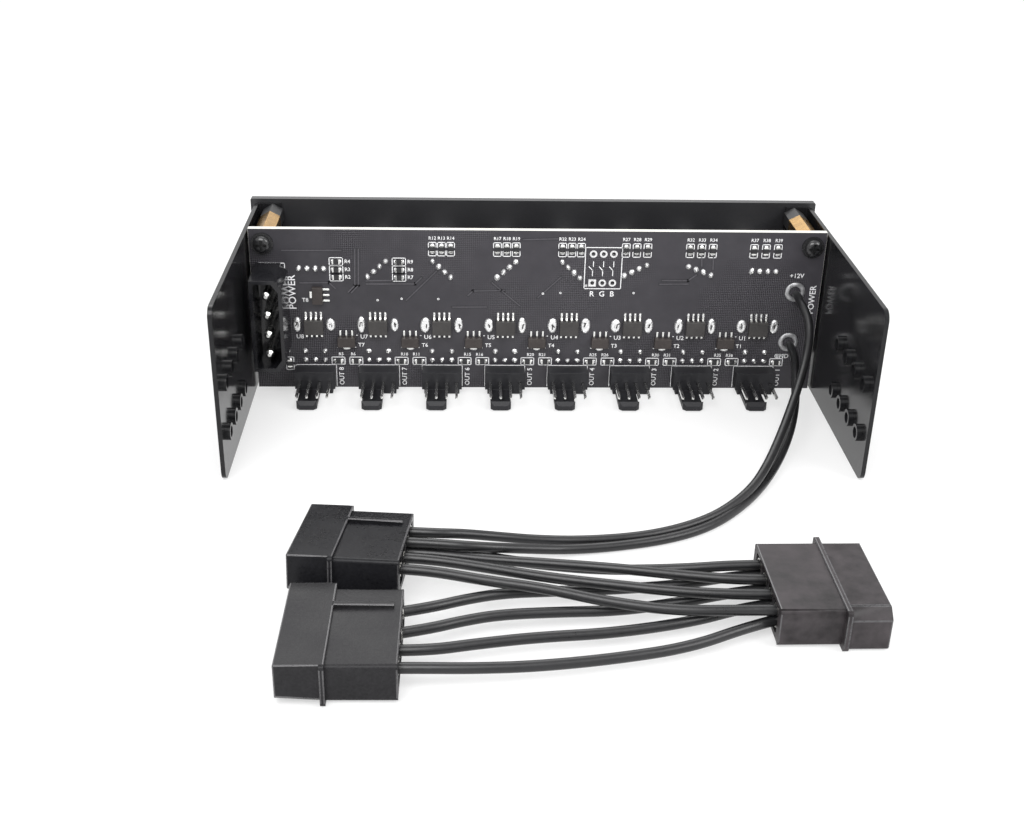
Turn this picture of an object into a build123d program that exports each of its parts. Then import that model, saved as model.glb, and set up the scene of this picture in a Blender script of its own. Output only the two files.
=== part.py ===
from build123d import *
import math
import os

# Fan controller for a drive bay, in millimetres.
# +X runs along the panel, +Y points out of the panel's front, +Z is up.
# The origin is at the middle of the base.

# Front panel
panel_width = 148.4
panel_height = 42.8
panel_thick = 2.5
panel_corner = 0.4
panel_edge = 0.3

# Side brackets, each a flange with a tab folded onto the panel's rear face
panel_overhang = 1.2
bracket_depth = 73.5
bracket_drop = 1.0
sheet_thick = 1.0
bend_inside = 0.6
tab_past_screw = 2.0
flange_corner = 2.5
side_hole_heights = (10.0, 22.2)
side_hole_count = 4
side_hole_start = 5.5
side_hole_pitch = 7.5
side_hole_radius = 1.3
side_collar_radius = 2.0
side_collar_height = 1.1

# Circuit board, between the flanges
board_side_gap = 0.5
board_top_drop = 0.05
board_thick = 1.6
board_lift = 0.05
board_gap = 23.8

# Fasteners and standoffs
thread_radius = 1.5
screw_clearance = 0.1
thread_clearance = 0.05
head_radius = 2.75
washer_thick = 0.6
dome_radius = 2.15
head_height = 2.0
head_round = 1.1
recess_width = 0.7
recess_span = 2.6
recess_depth = 1.0
screw_side_inset = 3.3
screw_top_inset = 3.75
screw_grip = 5.0
stud_length = 1.7
blind_spare = 0.2
standoff_flats = 5.0
standoff_length = 15.0
standoff_turn = 28.0
standoff_bore = 7.0
tab_screw_height = 6.0

# Control channels
channel_count = 8
channel_margin = 14.94
shaft_height = 17.6
shaft_radius = 3.0
shaft_clearance = 0.05
shaft_flat = 1.5
panel_hole_clearance = 0.7
knob_gap = 0.8
knob_height = 13.2
knob_side_gap = 3.56
knob_taper = 0.4
knob_skirt_lip = 0.6
knob_skirt_height = 2.2
knob_round = 0.8
knob_bore_depth = 9.0
knob_bore_clearance = 0.03
pointer_width = 0.9
pointer_length = 4.2
pointer_depth = 0.6

# Potentiometers
pot_width = 8.2
pot_above_shaft = 4.8
pot_below_shaft = 6.5
pot_depth = 6.6
pot_corner = 1.0
bushing_wall = 0.5
bushing_length = 5.0
shaft_seat = 3.0
shaft_end_gap = 0.1
lug_thick = 0.4
lug_width = 2.2
terminal_pitch = 2.5
terminal_width = 0.8
terminal_thick = 0.4
terminal_rise = 2.4
terminal_row_near = 7.3
terminal_row_far = 9.8

# Indicator lamps
lamp_drop = 10.8
lamp_radius = 2.5
lamp_hole_clearance = 0.1
lamp_flange_lip = 0.4
lamp_flange_thick = 1.0
lamp_length = 8.6
lamp_proud = 0.6
lead_side = 0.5
lead_climb = 0.5
lead_pitch_board = 2.0
lead_pitch_lamp = 1.27
lamp_turns = [-1.0, 42.0, -43.0, 42.0, -43.0, 27.0, -21.0, -1.0]

# Fan headers along the board's lower edge
fan_width = 10.2
fan_height = 5.9
fan_depth = 4.4
fan_lift = 0.2
pin_pitch = 2.54
pin_side = 0.64
pin_hole_clearance = 0.02
fan_pin_height = 3.0
fan_pin_reach = 13.2
pin_point = 0.5
wall_width = 5.1
wall_thick = 1.2
wall_reach = 14.0
wall_lip = 1.0
wall_lip_length = 1.8
wall_tip_cut = 0.8
fan_notch = 0.6

# Power header at the board's end
header_inset = 5.2
header_screw_gap = 2.3
header_width = 7.8
header_tall = 23.8
header_depth = 12.8
header_wall = 0.9
header_base = 3.2
header_cut_x = 1.6
header_cut_z = 2.2
header_pitch = 5.08
header_pin_radius = 1.05
header_pin_reach = 12.2
header_pin_point = 0.6

# Small parts on the soldered face
chip_width = 4.8
chip_height = 3.8
chip_thick = 1.5
chip_standoff = 0.15
chip_rise = 17.1
chip_lead_pitch = 1.27
chip_lead_width = 0.42
chip_lead_reach = 1.05
chip_lead_thick = 0.2
transistor_width = 4.4
transistor_height = 2.6
transistor_thick = 1.5
transistor_rise = 13.0
transistor_lead_pitch = 1.5
transistor_lead_width = 0.5
transistor_lead_reach = 1.7
transistor_tab_width = 1.7
transistor_tab_reach = 0.7
lone_transistor_shift = 1.3
lone_transistor_rise = 25.6
resistor_long = 2.0
resistor_short = 1.25
resistor_thick = 0.5
fan_resistor_apart = 4.56
fan_resistor_gap = 1.35
row_resistor_drop = 4.85
row_resistor_pitches = [2.25, 2.33, 2.33, 2.7, 2.83, 3.0]
stack_resistor_shifts = [6.2, 5.6]
stack_resistor_drops = [8.35, 10.45, 12.45]
switch_hole_radius = 0.5
switch_shift = -0.12
switch_drops = [13.6, 5.95]
switch_ways = 3

# Soldered joints of the supply wires
joint_radius = 2.6
joint_height = 1.6
joint_flat = 1.15
plus_inset = 6.4
plus_drop = 15.75
ground_inset = 6.6
ground_rise = 13.15

# Lead connectors, each with four ways
way_pitch = 5.08
way_count = 4
wire_radius = 1.05
wire_spare = 0.05
body_low = -0.45
body_round = 0.8
pocket_width = 4.2
pocket_height = 5.8
pocket_depth = 3.0
crimp_back = 0.6
crimp_width = 2.6
crimp_height = 4.7
stem_radius = 1.5
stem_clearance = 0.05
inlet_body_length = 12.0
inlet_body_width = 23.6
inlet_body_height = 7.5
inlet_collar_thick = 1.0
inlet_collar_width = 26.8
inlet_collar_low = -0.85
inlet_collar_high = 8.0
inlet_shell_length = 7.7
inlet_shell_width = 25.8
inlet_shell_low = -0.5
inlet_shell_high = 7.9
inlet_shell_cut = (2.2, 2.0)
inlet_shell_wall = 1.1
inlet_pin_radius = 1.05
inlet_pin_short = 0.6
outlet_body_length = 12.5
outlet_body_width = 23.8
outlet_body_height = 7.2
outlet_collar_thick = 0.9
outlet_collar_width = 26.0
outlet_collar_low = -0.85
outlet_collar_high = 7.9
outlet_nose_length = 7.9
outlet_nose_width = 25.2
outlet_nose_low = -0.2
outlet_nose_lift = 0.5
outlet_nose_high = 7.9
outlet_nose_cut = 0.9
outlet_ridge_width = 1.2
outlet_ridge_height = 0.8
outlet_ridge_place = -5.9
outlet_ridge_short = 1.5
socket_hole_radius = 2.2
socket_outer = 1.75
socket_inner = 1.15
socket_short = 0.5
lead_out = 5.0

# Where the three connectors lie: place, turn about Z and roll about their own length
inlet_lies = Pos(39.5, -95.65, 0.85) * Rot(0, 0, 0.5)
front_outlet_lies = Pos(-29.9, -110.95, 0.85) * Rot(0, 0, 179.5)
back_outlet_lies = Pos(-30.0, -84.7, 2.7) * Rot(0, 0, 175.0) * Rot(8.0, 0, 0)

# Places worked out from the sizes above
bracket_span = panel_width - 2 * panel_overhang
bracket_height = panel_height - bracket_drop
board_width = bracket_span - 2 * (sheet_thick + board_side_gap)
board_height = panel_height - board_lift - board_top_drop
board_top = board_lift + board_height
overall_depth = bracket_depth + panel_thick + knob_gap + knob_height
rear_y = -overall_depth / 2
panel_rear = rear_y + bracket_depth
panel_front = panel_rear + panel_thick
tab_face = panel_rear - sheet_thick
board_face = panel_rear - board_gap
board_back = board_face + board_thick
standoff_end = board_back + standoff_length
screw_x = board_width / 2 - screw_side_inset
screw_z = board_top - screw_top_inset
screw_hole = thread_radius + screw_clearance
thread_hole = thread_radius + thread_clearance
stud_end = panel_rear + stud_length
fan_pin_z = fan_lift + board_lift + fan_pin_height
fan_base_z = fan_lift + board_lift
header_x = header_inset - board_width / 2
header_z = screw_z - head_radius - header_screw_gap - header_tall / 2
sides = [-1, 1]
channel_pitch = (board_width - 2 * channel_margin) / (channel_count - 1)
channel_xs = [(i - (channel_count - 1) / 2) * channel_pitch for i in range(channel_count)]
panel_hole_radius = shaft_radius + panel_hole_clearance
bushing_radius = shaft_radius + bushing_wall
knob_radius = (channel_pitch - knob_side_gap) / 2
knob_skirt_radius = knob_radius + knob_skirt_lip
lamp_height = panel_height - lamp_drop
lamp_flange_radius = lamp_radius + lamp_flange_lip
fan_resistor_shift = (channel_pitch - fan_resistor_apart) / 2
fan_resistor_z = fan_base_z + fan_height + fan_resistor_gap
switch_x = channel_pitch + switch_shift
switch_xs = [switch_x + (i - (switch_ways - 1) / 2) * pin_pitch for i in range(switch_ways)]
plus_joint = (board_width / 2 - plus_inset, board_top - plus_drop)
ground_joint = (board_width / 2 - ground_inset, board_lift + ground_rise)
wire_stack = wire_radius + wire_spare
inlet_collar_end = inlet_body_length + inlet_collar_thick
outlet_collar_end = outlet_body_length + outlet_collar_thick
way_places = [(i - (way_count - 1) / 2) * way_pitch for i in range(way_count)]


def upright(sketch, y_near, y_far):
    """Extrude a sketch drawn in X and Z from y_near to y_far."""
    plane = Plane((0, y_far, 0), x_dir=(1, 0, 0), z_dir=(0, -1, 0))
    return extrude(plane * sketch, amount=y_far - y_near)


def rod(x, z, radius, y_near, y_far):
    """A round bar along Y."""
    return upright(Pos(x, z) * Circle(radius), y_near, y_far)


def bar(x, z, width, height, y_near, y_far):
    """A rectangular bar along Y, centred on x and z."""
    return upright(Pos(x, z) * Rectangle(width, height), y_near, y_far)


def along(sketch, start, end):
    """Extrude a sketch drawn across a connector along the connector's length."""
    return extrude(Plane.YZ.offset(start) * sketch, amount=end - start)


def across(points, width, x):
    """Extrude an outline of Y and Z points by a width in X, centred on x."""
    outline = make_face(Polyline(*[(0, y, z) for y, z in points], close=True))
    return extrude(Pos(x - width / 2, 0, 0) * outline, amount=width, dir=(1, 0, 0))


def save(name, *solids):
    """Write one node, which may be a group of separate solids."""
    shape = solids[0] if len(solids) == 1 else Compound(children=list(solids))
    export_step(shape, os.path.join("parts", name + ".step"))


def make_panel():
    """The front plate, with a shaft hole and a lamp window for each channel."""
    outline = Pos(0, panel_height / 2) * RectangleRounded(panel_width, panel_height, panel_corner)
    plate = upright(outline, panel_rear, panel_front)
    plate = chamfer(plate.faces().sort_by(Axis.Y)[-1].edges(), panel_edge)
    holes = []
    for x in channel_xs:
        holes.append(rod(x, shaft_height, panel_hole_radius, panel_rear, panel_front))
        holes.append(rod(x, lamp_height, lamp_radius + lamp_hole_clearance, panel_rear, panel_front))
    for side in sides:
        for z in (screw_z, tab_screw_height):
            holes.append(rod(side * screw_x, z, thread_hole, panel_rear, stud_end + blind_spare))
    return plate - holes


def make_bracket(side):
    """A sheet folded once: the long flange with its tapped collars and the tab behind the panel."""
    outer = bracket_span / 2
    inner = outer - sheet_thick
    reach = screw_x - tab_past_screw
    profile = make_face(
        Polyline(
            (outer, rear_y),
            (outer, panel_rear),
            (reach, panel_rear),
            (reach, tab_face),
            (inner, tab_face),
            (inner, rear_y),
            close=True,
        )
    )
    sheet = extrude(profile, amount=bracket_height)
    bends = sheet.edges().filter_by(Axis.Z)
    fold_out = bends.sort_by_distance((outer, panel_rear, bracket_height / 2))[0]
    sheet = fillet(fold_out, bend_inside + sheet_thick)
    bends = sheet.edges().filter_by(Axis.Z)
    fold_in = bends.sort_by_distance((inner, tab_face, bracket_height / 2))[0]
    sheet = fillet(fold_in, bend_inside)
    rear_corners = sheet.edges().filter_by(Axis.X).sort_by(Axis.Y)[:2]
    sheet = fillet(rear_corners, flange_corner)
    for z in (screw_z, tab_screw_height):
        sheet = sheet - rod(screw_x, z, screw_hole, tab_face, panel_rear)
    for z in side_hole_heights:
        for i in range(side_hole_count):
            y = rear_y + side_hole_start + i * side_hole_pitch
            mouth = Plane((outer, y, z), x_dir=(0, 1, 0), z_dir=(-1, 0, 0))
            depth = sheet_thick + side_collar_height
            sheet = sheet + extrude(mouth * Circle(side_collar_radius), amount=depth)
            sheet = sheet - extrude(mouth * Circle(side_hole_radius), amount=depth)
    return sheet if side > 0 else mirror(sheet, about=Plane.YZ)


def make_board():
    """The bare board with its screw holes and the holes of an unfitted switch."""
    board = bar(0, board_lift + board_height / 2, board_width, board_height, board_face, board_back)
    for side in sides:
        board = board - rod(side * screw_x, screw_z, screw_hole, board_face, board_back)
    for x in switch_xs:
        for drop in switch_drops:
            board = board - rod(x, board_top - drop, switch_hole_radius, board_face, board_back)
    return board


def make_standoff(side):
    """A brass standoff tapped for the board, with a stud through a dark spacer into the panel."""
    x = side * screw_x
    hexagon = RegularPolygon(standoff_flats / 2, 6, major_radius=False)
    hexagon = Pos(x, screw_z) * Rot(0, 0, side * standoff_turn) * hexagon
    brass = upright(hexagon, board_back, standoff_end)
    brass = brass + rod(x, screw_z, thread_radius, standoff_end, stud_end)
    brass = brass - rod(x, screw_z, thread_hole, board_back, board_back + standoff_bore)
    spacer = upright(hexagon, standoff_end, tab_face) - rod(x, screw_z, screw_hole, standoff_end, tab_face)
    return [brass, spacer]


def make_screw(x, z, seat, tip):
    """A washer-head screw that sits at y = seat, on the side away from the panel."""
    dome = rod(x, z, dome_radius, seat - head_height, seat - washer_thick)
    dome = fillet(dome.edges().sort_by(Axis.Y)[0], head_round)
    head = dome + rod(x, z, head_radius, seat - washer_thick, seat)
    for width, height in ((recess_width, recess_span), (recess_span, recess_width)):
        head = head - bar(x, z, width, height, seat - head_height, seat - head_height + recess_depth)
    return head + rod(x, z, thread_radius, seat, tip)


def make_pot(x):
    """A potentiometer body with its bushing, two lugs and five bent terminals."""
    tall = pot_above_shaft + pot_below_shaft
    middle = shaft_height + (pot_above_shaft - pot_below_shaft) / 2
    low = shaft_height - pot_below_shaft
    front = board_back + pot_depth
    pot = upright(Pos(x, middle) * RectangleRounded(pot_width, tall, pot_corner), board_back, front)
    pot = pot + rod(x, shaft_height, bushing_radius, front, front + bushing_length)
    pot = pot - rod(x, shaft_height, shaft_radius + shaft_clearance, board_back + shaft_seat,
                    front + bushing_length)
    for side in sides:
        lug_x = x + side * (pot_width + lug_thick) / 2
        pot = pot + bar(lug_x, shaft_height, lug_thick, lug_width, board_back, front)
    for place, row in ((-1, terminal_row_far), (0, terminal_row_far), (1, terminal_row_far),
                       (-1, terminal_row_near), (1, terminal_row_near)):
        rise = terminal_rise if row == terminal_row_far else terminal_rise + 2 * terminal_thick
        foot = shaft_height - row - terminal_thick / 2
        outline = [
            (board_back, foot),
            (board_back + rise, foot),
            (board_back + rise, low + pot_corner),
            (board_back + rise - terminal_thick, low + pot_corner),
            (board_back + rise - terminal_thick, foot + terminal_thick),
            (board_back, foot + terminal_thick),
        ]
        pot = pot + across(outline, terminal_width, x + place * terminal_pitch)
    return pot


def make_shaft(x):
    """A control shaft, flatted where the knob goes on."""
    start = board_back + shaft_seat + shaft_end_gap
    knob_start = panel_front + knob_gap
    end = knob_start + knob_bore_depth - shaft_end_gap
    shaft = rod(x, shaft_height, shaft_radius, start, end)
    flat_height = shaft_radius - shaft_flat
    flat = bar(x, shaft_height + shaft_flat + flat_height / 2, 2 * shaft_radius, flat_height, knob_start, end)
    return shaft - flat


def make_knob(x):
    """A turned knob with a skirt, a D bore and a pointer slot."""
    start = panel_front + knob_gap
    end = start + knob_height
    profile = make_face(
        Polyline(
            (0, start),
            (knob_skirt_radius, start),
            (knob_skirt_radius, start + knob_skirt_height),
            (knob_radius, start + knob_skirt_height),
            (knob_radius - knob_taper, end),
            (0, end),
            close=True,
        )
    )
    knob = revolve(profile, Axis.Y)
    knob = fillet(knob.edges().filter_by(GeomType.CIRCLE).sort_by(Axis.Y)[-1], knob_round)
    slot = bar(0, knob_radius - pointer_length / 2, pointer_width, pointer_length, end - pointer_depth, end)
    bore_radius = shaft_radius + knob_bore_clearance
    bore = Circle(bore_radius)
    key = shaft_flat + knob_bore_clearance
    key_cut = bore_radius - key
    bore = bore - Pos(0, key + key_cut / 2) * Rectangle(2 * bore_radius, key_cut)
    knob = knob - slot - upright(bore, start, start + knob_bore_depth)
    return Pos(x, 0, shaft_height) * knob


def make_lamp(x, turn):
    """A domed lamp standing on four leads that spread towards the board."""
    tip = panel_front + lamp_proud
    base = tip - lamp_length
    dome = tip - lamp_radius
    profile = make_face(
        [
            Line((0, base), (lamp_flange_radius, base)),
            Line((lamp_flange_radius, base), (lamp_flange_radius, base + lamp_flange_thick)),
            Line((lamp_flange_radius, base + lamp_flange_thick), (lamp_radius, base + lamp_flange_thick)),
            Line((lamp_radius, base + lamp_flange_thick), (lamp_radius, dome)),
            RadiusArc((lamp_radius, dome), (0, tip), -lamp_radius),
            Line((0, tip), (0, base)),
        ]
    )
    solids = [Pos(x, 0, lamp_height) * revolve(profile, Axis.Y)]
    angle = math.radians(turn)
    for place in (-1.5, -0.5, 0.5, 1.5):
        sections = []
        for y, pitch, climb in ((base, lead_pitch_lamp, 0), (board_back, lead_pitch_board, lead_climb)):
            shift = place * pitch
            z = lamp_height + climb + shift * math.sin(angle)
            plane = Plane((x + shift * math.cos(angle), y, z), x_dir=(1, 0, 0), z_dir=(0, -1, 0))
            sections.append(plane * Rectangle(lead_side, lead_side))
        solids.append(loft(sections))
    return solids


def make_fan_header(x):
    """A header base with a locking wall beside the first three pins."""
    top = fan_base_z + fan_height
    base = bar(x, fan_base_z + fan_height / 2, fan_width, fan_height, board_face - fan_depth, board_face)
    for side in sides:
        notch_x = x + side * (fan_width - fan_notch) / 2
        base = base - bar(notch_x, fan_base_z + wall_thick / 2, fan_notch, wall_thick,
                          board_face - fan_depth, board_face)
    tip = board_face - wall_reach
    inner = fan_base_z + wall_thick
    outline = [
        (board_face - fan_depth, fan_base_z),
        (tip, fan_base_z),
        (tip, inner),
        (tip + wall_lip_length / 2, inner + wall_lip),
        (tip + wall_lip_length, inner),
        (board_face - fan_depth, inner),
    ]
    wall_x = x - pin_pitch / 2
    wall = across(outline, wall_width, wall_x)
    tip_edges = wall.edges().filter_by(Axis.Z).sort_by(Axis.Y)[:2]
    wall = chamfer(tip_edges, wall_tip_cut)
    header = base + wall
    hole = pin_side + 2 * pin_hole_clearance
    for place in pin_places(x):
        header = header - bar(place, fan_pin_z, hole, hole, board_face - fan_depth, board_face)
    return header


def pin_places(x):
    """The X places of one fan header's four pins."""
    return [x + (i - 1.5) * pin_pitch for i in range(4)]


def make_fan_pin(x):
    """A square pin with a pointed tip."""
    shoulder = board_face - fan_pin_reach + pin_point
    pin = bar(x, fan_pin_z, pin_side, pin_side, shoulder, board_face)
    tip_plane = Plane((x, shoulder, fan_pin_z), x_dir=(1, 0, 0), z_dir=(0, -1, 0))
    point_side = pin_side / 2
    tip = loft([tip_plane * Rectangle(pin_side, pin_side),
                tip_plane.offset(pin_point) * Rectangle(point_side, point_side)])
    return pin + tip


def header_outline(shrink):
    """The power header's outline with its two cut corners, moved inwards by shrink."""
    half_w = header_width / 2 - shrink
    half_h = header_tall / 2 - shrink
    points = [
        (-half_w, -half_h),
        (half_w - header_cut_x, -half_h),
        (half_w, header_cut_z - half_h),
        (half_w, half_h - header_cut_z),
        (half_w - header_cut_x, half_h),
        (-half_w, half_h),
    ]
    return Pos(header_x, header_z) * make_face(Polyline(*points, close=True))


def header_pin_places():
    """The heights of the power header's four pins."""
    return [header_z + (i - 1.5) * header_pitch for i in range(4)]


def make_power_header():
    """An open shell standing on the board, keyed by two cut corners."""
    tip = board_face - header_depth
    shell = upright(header_outline(0), tip, board_face)
    shell = shell - upright(header_outline(header_wall), tip, board_face - header_base)
    for z in header_pin_places():
        shell = shell - rod(header_x, z, header_pin_radius + pin_hole_clearance,
                            board_face - header_base, board_face)
    return shell


def make_header_pin(z):
    """A round power pin with a bevelled tip."""
    pin = rod(header_x, z, header_pin_radius, board_face - header_pin_reach, board_face)
    return chamfer(pin.edges().sort_by(Axis.Y)[0], header_pin_point)


def make_chip(x):
    """A driver chip with four bent leads on each long side."""
    solids = [bar(x, chip_rise, chip_width, chip_height,
                  board_face - chip_standoff - chip_thick, board_face - chip_standoff)]
    knee = board_face - chip_standoff - chip_thick / 2
    for side in sides:
        body_edge = chip_rise + side * chip_height / 2
        toe = body_edge + side * chip_lead_reach
        heel = body_edge + side * chip_lead_thick
        outline = [
            (board_face, toe),
            (board_face, body_edge),
            (knee, body_edge),
            (knee, heel),
            (board_face - chip_lead_thick, heel),
            (board_face - chip_lead_thick, toe),
        ]
        for i in range(4):
            solids.append(across(outline, chip_lead_width, x + (i - 1.5) * chip_lead_pitch))
    return solids


def make_transistor(x, z, turn):
    """A flat transistor: body, three leads on one side and a tab on the other."""
    body = bar(0, 0, transistor_width, transistor_height, -transistor_thick, 0)
    lead_z = (transistor_height + transistor_lead_reach) / 2
    tab_z = -(transistor_height + transistor_tab_reach) / 2
    pieces = [body, bar(0, tab_z, transistor_tab_width, transistor_tab_reach, -2 * chip_lead_thick, 0)]
    for i in (-1, 0, 1):
        pieces.append(bar(i * transistor_lead_pitch, lead_z, transistor_lead_width, transistor_lead_reach,
                          -2 * chip_lead_thick, 0))
    return [Pos(x, board_face, z) * Rot(0, turn, 0) * piece for piece in pieces]


def make_resistor(x, z, upright_part):
    """A chip resistor, lying along X or along Z."""
    width = resistor_short if upright_part else resistor_long
    height = resistor_long if upright_part else resistor_short
    return bar(x, z, width, height, board_face - resistor_thick, board_face)


def resistor_places():
    """Where each resistor sits, and whether it is upright."""
    places = []
    for x in channel_xs:
        for side in sides:
            places.append((x + side * fan_resistor_shift, fan_resistor_z, False))
    for x, shift in zip(channel_xs, stack_resistor_shifts):
        for drop in stack_resistor_drops:
            places.append((x + shift, board_top - drop, False))
    for x, pitch in zip(channel_xs[len(stack_resistor_shifts):], row_resistor_pitches):
        for i in (-1, 0, 1):
            places.append((x + i * pitch, board_top - row_resistor_drop, True))
    return places


def make_joint(x, z):
    """A mound of solder with a flat top where a supply wire comes out."""
    profile = make_face(
        [
            Line((0, board_face), (joint_radius, board_face)),
            Bezier((joint_radius, board_face), (joint_radius * 0.9, board_face - joint_height * 0.7),
                   (joint_flat, board_face - joint_height)),
            Line((joint_flat, board_face - joint_height), (0, board_face - joint_height)),
            Line((0, board_face - joint_height), (0, board_face)),
        ]
    )
    return Pos(x, 0, z) * revolve(profile, Axis.Y)


def cut_ways(housing, height, end):
    """Cut the wire pockets of a connector, and the contact holes up to the end of its collar."""
    for place in way_places:
        pocket = Pos(place, height / 2) * RectangleRounded(pocket_width, pocket_height, body_round)
        hole = Pos(place, height / 2) * Circle(stem_radius + stem_clearance)
        housing = housing - along(pocket, 0, pocket_depth)
        housing = housing - along(hole, pocket_depth, end)
    return housing


def inlet_shell_outline(shrink):
    """The inlet's mating outline, with its two upper corners cut."""
    half = inlet_shell_width / 2 - shrink
    low = inlet_shell_low + shrink
    high = inlet_shell_high - shrink
    cut_w, cut_h = inlet_shell_cut
    points = [
        (-half, low),
        (half, low),
        (half, high - cut_h),
        (half - cut_w, high),
        (cut_w - half, high),
        (-half, high - cut_h),
    ]
    return make_face(Polyline(*points, close=True))


def make_inlet():
    """The lead's inlet: wire end, collar and an open shell round the pins."""
    body_middle = (body_low + inlet_body_height) / 2
    body = Pos(0, body_middle) * RectangleRounded(
        inlet_body_width, inlet_body_height - body_low, body_round)
    collar_middle = (inlet_collar_low + inlet_collar_high) / 2
    collar = Pos(0, collar_middle) * RectangleRounded(
        inlet_collar_width, inlet_collar_high - inlet_collar_low, body_round)
    shell_end = inlet_collar_end + inlet_shell_length
    housing = along(body, 0, inlet_body_length)
    housing = housing + along(collar, inlet_body_length, inlet_collar_end)
    housing = housing + along(inlet_shell_outline(0), inlet_collar_end, shell_end)
    housing = housing - along(inlet_shell_outline(inlet_shell_wall), inlet_collar_end, shell_end)
    return cut_ways(housing, inlet_body_height, inlet_collar_end)


def make_outlet():
    """A pass-through outlet: wire end with a guide ridge, collar and a nose with four sockets."""
    body_middle = (body_low + outlet_body_height) / 2
    body = Pos(0, body_middle) * RectangleRounded(
        outlet_body_width, outlet_body_height - body_low, body_round)
    collar_middle = (outlet_collar_low + outlet_collar_high) / 2
    collar = Pos(0, collar_middle) * RectangleRounded(
        outlet_collar_width, outlet_collar_high - outlet_collar_low, body_round)
    nose_end = outlet_collar_end + outlet_nose_length
    ridge = Pos(outlet_ridge_place, outlet_body_height) * Rectangle(
        outlet_ridge_width, 2 * outlet_ridge_height)
    nose = loft([
        Plane.YZ.offset(outlet_collar_end) * outlet_nose_outline(outlet_nose_low),
        Plane.YZ.offset(nose_end) * outlet_nose_outline(outlet_nose_low + outlet_nose_lift),
    ])
    housing = along(body, 0, outlet_body_length) + along(ridge, outlet_ridge_short, outlet_body_length)
    housing = housing + along(collar, outlet_body_length, outlet_collar_end) + nose
    housing = cut_ways(housing, outlet_body_height, outlet_collar_end)
    for place in way_places:
        hole = Pos(place, outlet_body_height / 2) * Circle(socket_hole_radius)
        housing = housing - along(hole, outlet_collar_end, nose_end)
    return housing


def outlet_nose_outline(low):
    """The nose's section, flat on top with its two lower corners cut."""
    half = outlet_nose_width / 2
    points = [
        (outlet_nose_cut - half, low),
        (half - outlet_nose_cut, low),
        (half, low + outlet_nose_cut),
        (half, outlet_nose_high),
        (-half, outlet_nose_high),
        (-half, low + outlet_nose_cut),
    ]
    return make_face(Polyline(*points, close=True))


def make_crimp(place, height):
    """The crimped end of a contact and the stem that passes through its housing."""
    crimp = Pos(place, height / 2) * Rectangle(crimp_width, crimp_height)
    return along(crimp, crimp_back, pocket_depth)


def make_inlet_contact(place):
    """A contact that ends in a pin inside the inlet's shell."""
    middle = Pos(place, inlet_body_height / 2)
    pin_end = inlet_collar_end + inlet_shell_length - inlet_pin_short
    pin = along(middle * Circle(inlet_pin_radius), inlet_collar_end, pin_end)
    pin = chamfer(pin.edges().sort_by(Axis.X)[-1], inlet_pin_radius / 2)
    stem = along(middle * Circle(stem_radius), pocket_depth, inlet_collar_end)
    return make_crimp(place, inlet_body_height) + stem + pin


def make_outlet_contact(place):
    """A contact that ends in an open tube inside the outlet's nose."""
    middle = Pos(place, outlet_body_height / 2)
    tube_end = outlet_collar_end + outlet_nose_length - socket_short
    tube = along(middle * (Circle(socket_outer) - Circle(socket_inner)), outlet_collar_end, tube_end)
    stem = along(middle * Circle(stem_radius), pocket_depth, outlet_collar_end)
    return make_crimp(place, outlet_body_height) + stem + tube


def wire_exit(lies, way, height, shift):
    """The two first points of a wire: at its crimp, and straight out of the housing."""
    spot = way_places[way]
    inside = lies * Pos(crimp_back, spot, height / 2 + shift)
    outside = lies * Pos(-lead_out, spot, height / 2 + shift)
    return [tuple(inside.position), tuple(outside.position)]


def board_exit(joint):
    """The two first points of a wire that leaves the board straight."""
    x, z = joint
    start = board_face - joint_height
    return [(x, start, z), (x, start - lead_out, z)]


def make_wire(name, points):
    """A round wire along straight runs and arcs as large as the runs allow."""
    corners = [Vector(p) for p in points]
    radii = []
    for before, corner, after in zip(corners, corners[1:], corners[2:]):
        run_in = corner - before
        run_out = after - corner
        half_turn = math.radians(run_in.get_angle(run_out)) / 2
        radii.append(0.45 * min(run_in.length, run_out.length) / math.tan(half_turn))
    path = FilletPolyline(*points, radius=radii)
    section = Plane(corners[0], z_dir=corners[1] - corners[0]) * Circle(wire_radius)
    tube = sweep(section, path=path)
    share = tube.volume / (math.pi * wire_radius ** 2 * path.length)
    print(name, "length", round(path.length, 1), "volume share", round(share, 4),
          "radii", [round(r, 1) for r in radii])
    save(name, tube)


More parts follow.
